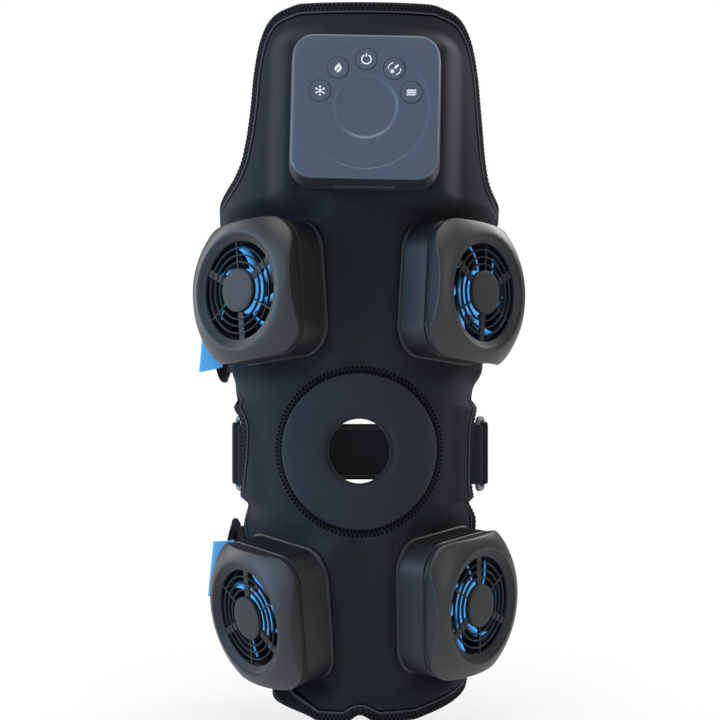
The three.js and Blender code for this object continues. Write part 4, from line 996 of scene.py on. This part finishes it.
BINDING_SECTION = [
    (5.0, 0.15), (4.9, -0.35), (4.5, -0.55), (3.6, -0.62), (2.4, -0.66), (1.3, -0.6), (0.5, -0.25),
    (-0.15, 0.5), (-0.5, 1.4), (-0.55, 2.3), (-0.3, 3.3), (0.3, 4.2), (1.3, 4.6), (3.0, 4.65), (4.9, 4.5),
    (5.0, 4.0), (1.2, 3.4), (1.2, 0.6),
]
swept(EDGE, BINDING_SECTION, "edge_binding", BINDING)
RIDGE_SECTION = [
    (5.15, 0.2), (5.15, -0.25), (5.35, -0.5), (5.65, -0.55), (5.95, -0.45), (6.1, -0.2), (6.1, 0.2),
]
swept(EDGE, RIDGE_SECTION, "edge_welt", WELT)
# A thin near-black strip laid on the panel inside the welt: painted shade of a groove, where the panel itself
# is not sunk.
GROOVE_SHADE_SECTION = [(6.1, 0.2), (6.15, -0.07), (6.6, -0.1), (7.05, -0.05), (7.1, 0.2)]
swept(EDGE, GROOVE_SHADE_SECTION, "edge_groove_shade", THREAD_AND_SHADE)


def dot(centre, out, along, radius):
    """A small flattened bead of thread that lies on a surface."""
    sides, rise_at_top = 6, out * radius * 0.45
    across = np.cross(out, along)
    points = [centre + rise_at_top]
    for ring, rise in ((0.7, 0.75), (1.0, 0.0)):
        for k in range(sides):
            turn = k / sides * 2 * math.pi
            points.append(centre + radius * ring * (math.cos(turn) * along + math.sin(turn) * across)
                          + rise_at_top * rise)
    faces = [(0, 1 + k, 1 + (k + 1) % sides) for k in range(sides)]
    for k in range(sides):
        j = (k + 1) % sides
        faces.append((1 + k, 1 + sides + k, 1 + sides + j, 1 + j))
    faces.append(tuple(range(1 + sides, 1 + 2 * sides))[::-1])
    return points, faces


def zigzag(near, far, name, bead):
    """Thread that runs to and fro between two closed lines of points, with a bead at each end.

    near and far are (points, outward normals) of equal length.
    """
    (near_points, near_out), (far_points, far_out) = near, far
    path, parts = [], []
    count = len(near_points)
    for i in range(count):
        path += [near_points[i], far_points[i]]
        along = near_points[(i + 1) % count] - near_points[i]
        along /= np.linalg.norm(along)
        parts.append(dot(near_points[i], near_out[i], along, bead))
        parts.append(dot(far_points[i], far_out[i], along, bead * 0.8))
    outs = np.repeat(near_out, 2, axis=0)
    parts.append(tube(path, THREAD_RADIUS, 5, True, outs))
    new_object(name, merge_parts(parts), THREAD_AND_SHADE, "wrap", None, 70)


def lifted(places, lift):
    """Points above the wrap at some places, with the outward normals there."""
    low, high = wrap_below(*places.T, 0.0), wrap_below(*places.T, -1.0)
    return low + (high - low) * lift, high - low


def shifted(places, share):
    """The places a share of a step further on round a closed line."""
    return places * (1 - share) + np.roll(places, -1, 0) * share


stitch_places = evenly(EDGE, STITCH_PITCH)
zigzag(lifted(inward(stitch_places, 1.5), 0.60), lifted(shifted(inward(stitch_places, 3.9), 0.5), 0.60),
       "edge_stitches", 0.75)


# Knee pad

PAD_SECTION = [
    (PAD_RADIUS, 3.9), (PAD_RADIUS, 0.6), (45.3, -0.2), (44.7, -0.75), (43.4, -1.12), (41.0, -1.42),
    (38.0, -1.6), (33.0, -1.7), (28.0, -1.62), (24.5, -1.4), (22.4, -1.0), (21.0, -0.35), (19.9, 0.6),
    (19.1, 1.7), (18.6, 2.7), (18.5, 3.6), (18.9, 4.4), (19.8, 4.9), (22.0, 5.1), (30.0, 5.2), (40.0, 5.0),
    (44.6, 4.6),
]
pad_shape = skin_loops([pad_ring(radius, depth) for radius, depth in PAD_SECTION], ring=True)
pad = new_object("knee_pad", pad_shape, PAD_CLOTH, "wrap", None, 60)
second_material(pad, BINDING, [int(12 <= i // SIDES <= 16) for i in range(len(pad_shape[1]))])
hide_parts("knee_ring_pad")


zigzag(lifted(ring_places(PAD_RADIUS, KNEE_STITCHES), 0.4),
       lifted(ring_places(PAD_STITCH_RADIUS, KNEE_STITCHES, 0.5), 0.05), "knee_stitches", 1.05)


# Straps

def catmull_rom(points):
    """A centripetal Catmull-Rom line through points in a plane, as many points and their distances."""
    points = np.asarray(points, float)
    padded = np.vstack([2 * points[0] - points[1], points, 2 * points[-1] - points[-2]])
    line = []
    for i in range(len(points) - 1):
        p0, p1, p2, p3 = padded[i:i + 4]
        gaps = [np.linalg.norm(b - a) ** 0.5 for a, b in ((p0, p1), (p1, p2), (p2, p3))]
        t0, t1, t2, t3 = np.cumsum([0] + gaps)
        t = np.linspace(t1, t2, 40, endpoint=False)[:, None]
        a1 = (t1 - t) / (t1 - t0) * p0 + (t - t0) / (t1 - t0) * p1
        a2 = (t2 - t) / (t2 - t1) * p1 + (t - t1) / (t2 - t1) * p2
        a3 = (t3 - t) / (t3 - t2) * p2 + (t - t2) / (t3 - t2) * p3
        b1 = (t2 - t) / (t2 - t0) * a1 + (t - t0) / (t2 - t0) * a2
        b2 = (t3 - t) / (t3 - t1) * a2 + (t - t1) / (t3 - t1) * a3
        line.append((t2 - t) / (t2 - t1) * b1 + (t - t1) / (t2 - t1) * b2)
    line = np.vstack(line + [points[-1:]])
    return line, lengths(line)


def table_edge(height):
    share = (height + HEM_DROP) / WRAP_HEIGHT
    return np.interp(share, EDGE_ANGLE[:, 0], EDGE_ANGLE[:, 2]) * math.pi / 2


def strap_curve(height):
    """A wide strap's course at one height, from the panel's right edge round the back to its free end."""
    share = (height + HEM_DROP) / WRAP_HEIGHT
    stand_off = UPPER_STRAP_STAND_OFF if height > 0 else LOWER_STRAP_STAND_OFF
    half_depth = KNEE_HALF_DEPTH * leg_value(share, 3)
    edge = max(table_edge(height + rise) for rise in (-STRAP_EDGE_REACH, 0, STRAP_EDGE_REACH))
    start = wrap_below(edge + STRAP_SEWN_GAP / KNEE_HALF_WIDTH, height, PANEL_THICKNESS / 2)
    points = [start[:2]]
    steps = 12
    last = 3 * math.pi / 2 - 0.1
    for i in range(1, steps + 1):
        angle = edge + (last - edge) * i / steps
        off = stand_off * ease(i / steps) - PANEL_THICKNESS / 2 * (1 - i / steps)
        x = WRAP_SIDE + (half_width(share, angle) + off) * math.sin(angle)
        points.append((x, -(half_depth + off) * math.cos(angle)))
    x, y = points[-1]
    lean = HOOK_PATCH_LENGTH / 2
    flare = 1.75 if height > 0 else 2.2
    points += [(x - 0.1 * lean, y - lean), (x - 0.6 * lean, y - 2 * lean), (x - flare * lean, y - 2.9 * lean)]
    return catmull_rom(points)


def strap_end(strap_level):
    return strap_curve(strap_level)[1][-1] - PULL_TAB_LENGTH - HOOK_PATCH_LENGTH / 2


def strap_strip(strap_level, height, start, stop, thickness, shift=0.0, corner=0.0, rows=25, columns=120,
                flute=0.0, rims=1.0, slant=0.0):
    """A strip of a strap's course as a closed sheet with soft edges, and its UVs in metres."""
    across = np.sin(np.linspace(-1, 1, rows) * math.pi / 2) if corner else np.linspace(-1, 1, rows)
    if not corner:
        across = np.sign(across) * abs(across) ** 0.8
    loops, uvs = [], []
    for at in across:
        z = strap_level + at * height / 2
        into = max(abs(at) * height / 2 - height / 2 + corner, 0)
        inset = corner - math.sqrt(max(corner**2 - into**2, 0)) if corner else 0
        line, distance = strap_curve(z)
        along = np.linspace(start + inset, stop - inset, columns + 1)
        along_eased = np.clip(along, 0, distance[-1])
        centre = along_line(along_eased, distance, line)
        out = normals(centre)
        to_side = (1 - abs(at)) * height / 2
        to_end = np.minimum(along - along[0], along[-1] - along)
        near_rim = np.minimum(to_side, to_end)
        half = thickness / 2 * np.sqrt(np.clip(1 - (1 - np.clip(near_rim / rims, 0, 1)) ** 2 * 0.85, 0.1, 1))
        swell = flute * np.sin(along / 17.0 + 0.7) * (at**2)
        outer = centre + out * (shift + swell + half)[:, None]
        inner = centre + out * (shift + swell - half)[:, None]
        ring = np.vstack([outer, inner[::-1]])
        rise = slant * (along - start) / (stop - start)
        loops.append(np.column_stack([ring, z + np.concatenate([rise, rise[::-1]])]))
        uvs += [(d * MM, z * MM) for d in list(along) + list(along[::-1])]
    return (*slab(loops), np.array(uvs))


def on_strap(height, distance, lift):
    """A point of a strap's course at a height, lifted off its middle, with the outward normal."""
    line, along = strap_curve(height)
    place, ahead = along_line([distance, distance + 0.5], along, line)
    run = unit(ahead - place)
    out = np.array([run[1], -run[0]])
    return np.array([*(place + out * lift), height]), np.array([*out, 0.0])


def stitch_row(places, name, body, length, width, gap):
    """Separate stitches along a line of (point, outward normal) pairs."""
    points = np.array([p for p, _ in places])
    outs = np.array([o for _, o in places])
    distance = lengths(points)
    pitch = length + gap
    parts = []
    for i in range(int(distance[-1] / pitch)):
        stations = i * pitch + np.array([0, 0.2, 0.8, 1]) * length
        out = along_line(stations[1], distance, outs)
        rise = np.array([-0.2, 0.12, 0.12, -0.2]) * width
        row = along_line(stations, distance, points) + out * rise[:, None]
        parts.append(tube(row, width / 2, 5, False, np.tile(out, (4, 1))))
    new_object(name, merge_parts(parts), LIGHT_THREAD, body, None, 70)


for name, share in (("upper", UPPER_STRAP_SHARE), ("lower", LOWER_STRAP_SHARE)):
    strap_level = share * WRAP_HEIGHT - HEM_DROP
    end = strap_end(strap_level)
    body = f"{name}_strap_body"
    shape = strap_strip(strap_level, WIDE_STRAP_HEIGHT, 0, end, STRAP_THICKNESS, rows=27, columns=170)
    strap = new_object(f"{name}_wide_strap", shape, WEBBING, body, None, 50)
    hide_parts(f"{name}_strap")
    half = HOOK_PATCH_LENGTH / 2
    outside = (STRAP_THICKNESS + HOOK_PATCH_THICKNESS) / 2 + PATCH_GAP
    shape = strap_strip(strap_level, HOOK_PATCH_HEIGHT, end - half - PATCH_REACH, end + half - PATCH_SHORT,
                        HOOK_PATCH_THICKNESS, outside, HOOK_PATCH_CORNER, rows=41, columns=40, rims=0.8)
    patch = new_object(f"{name}_patch", shape, HOOK_PILE, body, None, 60)
    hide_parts(f"{name}_hook_patch")
    tab_level, tab_height, slant = (-0.4, 51.8, -3.0) if name == "upper" else (7.5, 33, 1.0)
    shape = strap_strip(strap_level + tab_level, tab_height, end + TAB_SEWN_GAP, end + PULL_TAB_LENGTH,
                        PULL_TAB_THICKNESS, TAB_LIFT, rows=21, columns=22, flute=0.5, rims=0.7, slant=slant)
    tab = new_object(f"{name}_tab", shape, TAB_CLOTH, body, None, 60)
    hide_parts(f"{name}_pull_tab")
    top_lift = outside + HOOK_PATCH_THICKNESS / 2
    rim_line = []
    reach, tall = half + (PATCH_REACH - PATCH_SHORT) / 2 - 1.6, HOOK_PATCH_HEIGHT / 2 - 1.6
    round_off = HOOK_PATCH_CORNER - 1.6
    for turn in np.linspace(0, 2 * math.pi, 97):
        cx = math.copysign(reach - round_off, math.cos(turn))
        cz = math.copysign(tall - round_off, math.sin(turn))
        height = strap_level + cz + round_off * math.sin(turn)
        distance = end - (PATCH_REACH + PATCH_SHORT) / 2 + cx + round_off * math.cos(turn)
        rim_line.append(on_strap(height, distance, top_lift))
    stitch_row(rim_line, f"{name}_patch_stitches", body, length=2.0, width=0.45, gap=0.7)
    for part, side in (("top", 1), ("bottom", -1)):
        z = strap_level + side * (WIDE_STRAP_HEIGHT / 2 - 2.2)
        row = [on_strap(z, d, STRAP_THICKNESS / 2) for d in np.linspace(2, end - half - 2, 160)]
        stitch_row(row, f"{name}_strap_{part}_stitches", body, length=2.2, width=0.4, gap=0.8)


# Rings, loops and middle strap

def ring_frame(side):
    front = np.array([*RING_FRONTS[side], MID_STRAP_LEVEL])
    along = np.array([side * math.cos(math.radians(RING_TURN)), math.sin(math.radians(RING_TURN)), 0.0])
    return front, front + along * RING_BAR_SPACING, along


def ring_mesh(side):
    front, _, along = ring_frame(side)
    half = RING_HEIGHT / 2 - RING_BAR_RADIUS
    steps = 10
    path = []
    corners = [(RING_BAR_SPACING, half), (0, half), (0, -half), (RING_BAR_SPACING, -half)]
    for corner, (x, z) in enumerate(corners):
        centre_x = x - RING_CORNER if x else RING_CORNER
        centre_z = z - RING_CORNER if z > 0 else z + RING_CORNER
        for i in range(steps + 1):
            turn = (corner + i / steps) * math.pi / 2
            place = front + along * (centre_x + RING_CORNER * math.cos(turn))
            path.append([place[0], place[1], MID_STRAP_LEVEL + centre_z + RING_CORNER * math.sin(turn)])
    up = np.tile(np.cross(along, [0, 0, 1.0]), (len(path), 1))
    return tube(path, RING_BAR_RADIUS, 14, True, up)


def band(line, thickness, height, sag=None):
    """Webbing that stands upright: a line in plan widened to a thickness, with soft top and bottom edges."""
    out, distance = normals(line), lengths(line)
    loops, uvs = [], []
    across = np.linspace(-1, 1, 13)
    across = np.sign(across) * abs(across) ** 0.6
    for at in across:
        to_side = (1 - abs(at)) * height / 2
        half = thickness / 2 * math.sqrt(1 - (1 - min(to_side / 0.7, 1)) ** 2 * 0.8)
        ring = np.vstack([line + out * half, (line - out * half)[::-1]])
        level_z = np.full(len(ring), MID_STRAP_LEVEL + at * height / 2)
        if sag is not None:
            level_z = level_z - sag(ring[:, 1])
        loops.append(np.column_stack([ring, level_z]))
        uvs += [(d * MM, at * height / 2 * MM) for d in list(distance) + list(distance[::-1])]
    return (*slab(loops), np.array(uvs))


def offset_line(line, shift):
    return line + normals(line) * shift


def folded(line, eye_radius, web):
    """Webbing folded round an eye at the end of a line: the line out, round the eye and back."""
    eye, radius = line[-1], eye_radius + web / 2
    keep = line[np.linalg.norm(line - eye, axis=1) > radius * 1.9]
    run = eye - keep[-1]
    open_angle = math.pi - math.acos(min(radius / np.linalg.norm(run), 1)) - 0.15
    turn = np.linspace(-open_angle, open_angle, 33) + math.atan2(run[1], run[0])
    round_eye = eye + radius * np.stack([np.cos(turn), np.sin(turn)], 1)
    apart = web / 2 + 0.04
    out_line, back_line = offset_line(keep, apart), offset_line(keep, -apart)
    return smooth_open(np.vstack([out_line, round_eye, back_line[::-1]]), 2)


def smooth_open(line, passes):
    line = np.asarray(line, float)
    for _ in range(passes):
        inner = 0.25 * line[:-2] + 0.5 * line[1:-1] + 0.25 * line[2:]
        line = np.vstack([line[:1], inner, line[-1:]])
    return line


def loop_line(side):
    front, _, _ = ring_frame(side)
    depth = PANEL_THICKNESS + 0.6 + LOOP_WEB + SEAT_SINK - 0.3
    angles = np.radians(np.linspace(LOOP_TAIL_ANGLE, LOOP_MOUTH_ANGLE, 12)) * side
    rises = np.array([-0.5, -0.25, 0, 0.25, 0.5])[:, None] * LOOP_HEIGHT
    under = wrap_below(angles, MID_STRAP_LEVEL + rises + 0 * angles, depth)
    nearest = np.argmin(np.hypot(under[..., 0], under[..., 1]), axis=0)
    under = smooth_open(under[nearest, np.arange(12), :2], 4)
    run = np.linspace(0, 1, 14)[1:, None]
    return np.vstack([under, under[-1] + (front[:2] - under[-1]) * run])


for name, side in (("left", -1), ("right", 1)):
    ring = new_object(f"{name}_slotted_ring", ring_mesh(side), RING_GREY, f"{name}_ring_body", None, 60)
    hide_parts(f"{name}_ring")
    web = band(folded(loop_line(side), RING_BAR_RADIUS + 0.5, LOOP_WEB), LOOP_WEB, LOOP_HEIGHT)
    loop = new_object(f"{name}_web_loop", web, LOOP_CLOTH, "wrap", None, 50)
    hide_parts(f"{name}_ring_loop")

MID_SHARE = (MID_STRAP_LEVEL + HEM_DROP) / WRAP_HEIGHT
MID_HALF_DEPTH = KNEE_HALF_DEPTH * leg_value(MID_SHARE, 3) + MID_STRAP_STAND_OFF


def mid_sag(y):
    return MID_STRAP_DIP * ease(y / MID_HALF_DEPTH)


def mid_line():
    """The middle strap's course behind the knee, between the eyes of the two rings."""
    slack = FOLD_INNER_RADIUS - RING_BAR_RADIUS - 0.3
    ends = []
    for side in (1, -1):
        _, rear, along = ring_frame(side)
        ends.append((rear + along * slack)[:2])
    angle = math.pi / 2 + math.pi * np.linspace(0, 1, 131)[5:-5]
    back = np.stack([MID_STRAP_HALF_WIDTH * np.sin(angle), -MID_HALF_DEPTH * np.cos(angle)], 1)
    return ends[0], back, ends[1]


right_eye, back_line, left_eye = mid_line()
right_fold = folded(np.vstack([back_line[::-1], right_eye]), FOLD_INNER_RADIUS, MID_STRAP_WEB)
left_fold = folded(np.vstack([back_line, left_eye]), FOLD_INNER_RADIUS, MID_STRAP_WEB)
parts, part_uvs = [], []
for fold in (right_fold, left_fold):
    middle = np.argmin(abs(fold[:len(fold) // 2, 0]))
    other = len(fold) // 2 + np.argmin(abs(fold[len(fold) // 2:, 0]))
    points, faces, uvs = band(fold[middle:other + 1], MID_STRAP_WEB, MID_STRAP_HEIGHT, mid_sag)
    parts.append((points, faces))
    part_uvs.append(uvs)
back_strap = new_object("middle_strap", (*merge_parts(parts), np.vstack(part_uvs)), WEBBING, "wrap", None, 50)
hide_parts("mid_strap")


def along_back(z, lift):
    """Places along the middle strap's inner face for lift below 0, or outer face."""
    line = back_line[6:-6]
    out = normals(line)
    out = out * np.sign(np.sum(out * line, axis=1))[:, None]
    places = line + out * lift
    return [(np.array([*p, z - mid_sag(p[1])]), np.array([*(o * np.sign(lift)), 0.0]))
            for p, o in zip(places, out)]


for part, z in (("top", MID_STRAP_HEIGHT / 2 - 3.4), ("bottom", 2.6 - MID_STRAP_HEIGHT / 2)):
    for face, lift in (("inner", -MID_STRAP_WEB - 0.1), ("outer", MID_STRAP_WEB + 0.1)):
        places = along_back(MID_STRAP_LEVEL + z, lift)
        stitch_row(places, f"middle_strap_{part}_{face}_stitches", "wrap", length=2.0, width=0.5, gap=0.9)


# Camera, lights and stage

def area_light(name, place, target, size, power, color=(1, 1, 1)):
    data = bpy.data.lights.new(name, "AREA")
    data.shape = "RECTANGLE"
    data.size, data.size_y = size[0] * MM, size[1] * MM
    data.energy, data.color = power, color
    lamp = in_scene(name, data)
    lamp.location = Vector(place) * MM
    direction = Vector(target) * MM - lamp.location
    lamp.rotation_euler = direction.to_track_quat("-Z", "Y").to_euler()


camera_data = bpy.data.cameras.new("camera")
camera_data.lens = CAMERA_LENS
camera_data.sensor_width = CAMERA_SENSOR
camera_data.clip_start = 0.01
camera = in_scene("camera", camera_data)
camera.location = Vector(CAMERA_PLACE) * MM
camera.rotation_euler = (math.pi / 2, 0, 0)
bpy.context.scene.camera = camera

area_light("key_left", (-900, -1000, 700), (0, 0, 60), (700, 900), 5.8, (0.78, 0.88, 1.0))
area_light("side_left", (-1150, -420, 150), (0, -40, 40), (500, 900), 10.0, (0.38, 0.66, 1.0))
area_light("fill_right", (1000, -900, 500), (0, 0, 60), (500, 900), 4.6, (1.0, 0.97, 0.93))
area_light("top", (0, -250, 1150), (0, -20, 60), (900, 700), 10, (1.0, 0.96, 0.92))
area_light("rim_right", (760, 600, 760), (60, -40, 60), (560, 760), 10)
area_light("rim_left", (-900, 400, 400), (0, 0, 120), (400, 900), 5)
area_light("low_left", (-500, -900, -500), (0, 0, 30), (700, 400), 1.4, (0.70, 0.85, 1.0))


def backdrop_material():
    """White to the camera, in mirrors and through glass, with the object's shadow kept near it."""
    made = bpy.data.materials.new("backdrop")
    tree = empty_tree(made)
    pale = add_node(tree, "ShaderNodeBsdfPrincipled", {
        "Base Color": (0.80, 0.80, 0.80, 1), "Roughness": 0.9, "Specular IOR Level": 0.2,
    })
    white = add_node(tree, "ShaderNodeEmission", {"Color": (1, 1, 1, 1), "Strength": 1.0})
    rays = add_node(tree, "ShaderNodeLightPath").outputs
    seen = rays["Is Camera Ray"]
    for kind in ("Is Glossy Ray", "Is Transmission Ray"):
        seen = add_node(tree, "ShaderNodeMath", {0: seen, 1: rays[kind]}, operation="MAXIMUM").outputs[0]
    place = add_node(tree, "ShaderNodeTexCoord").outputs["Object"]
    distance = add_node(tree, "ShaderNodeVectorMath", {0: place}, operation="LENGTH")
    share = add_node(tree, "ShaderNodeMapRange", {
        "Value": distance.outputs["Value"], "From Min": 0.15, "From Max": 0.55, "To Min": 0.72, "To Max": 1.0,
    }, interpolation_type="SMOOTHSTEP")
    amount = add_node(tree, "ShaderNodeMath", {0: seen, 1: share.outputs["Result"]}, operation="MULTIPLY")
    mix = add_node(tree, "ShaderNodeMixShader",
                   {0: amount.outputs[0], 1: pale.outputs[0], 2: white.outputs[0]})
    add_node(tree, "ShaderNodeOutputMaterial", {0: mix.outputs[0]})
    return made


corners = [(x * FLOOR_HALF, y * FLOOR_HALF, 0) for x, y in ((-1, -1), (1, -1), (1, 1), (-1, 1))]
floor_mesh = plain_mesh("floor", corners, [(0, 1, 2, 3)])
floor_mesh.materials.append(backdrop_material())
floor = in_scene("floor", floor_mesh)
floor.location.z = FLOOR_LEVEL * MM

world = bpy.data.worlds.new("world")
bpy.context.scene.world = world
tree = empty_tree(world)
light = add_node(tree, "ShaderNodeBackground", {"Color": (0.93, 0.96, 1.0, 1), "Strength": 0.13})
seen = add_node(tree, "ShaderNodeBackground", {"Color": (1, 1, 1, 1), "Strength": 1.0})
rays = add_node(tree, "ShaderNodeLightPath")
choose = add_node(tree, "ShaderNodeMixShader",
                  {0: rays.outputs["Is Camera Ray"], 1: light.outputs[0], 2: seen.outputs[0]})
add_node(tree, "ShaderNodeOutputWorld", {0: choose.outputs[0]})

bpy.context.scene.view_settings.view_transform = "Standard"
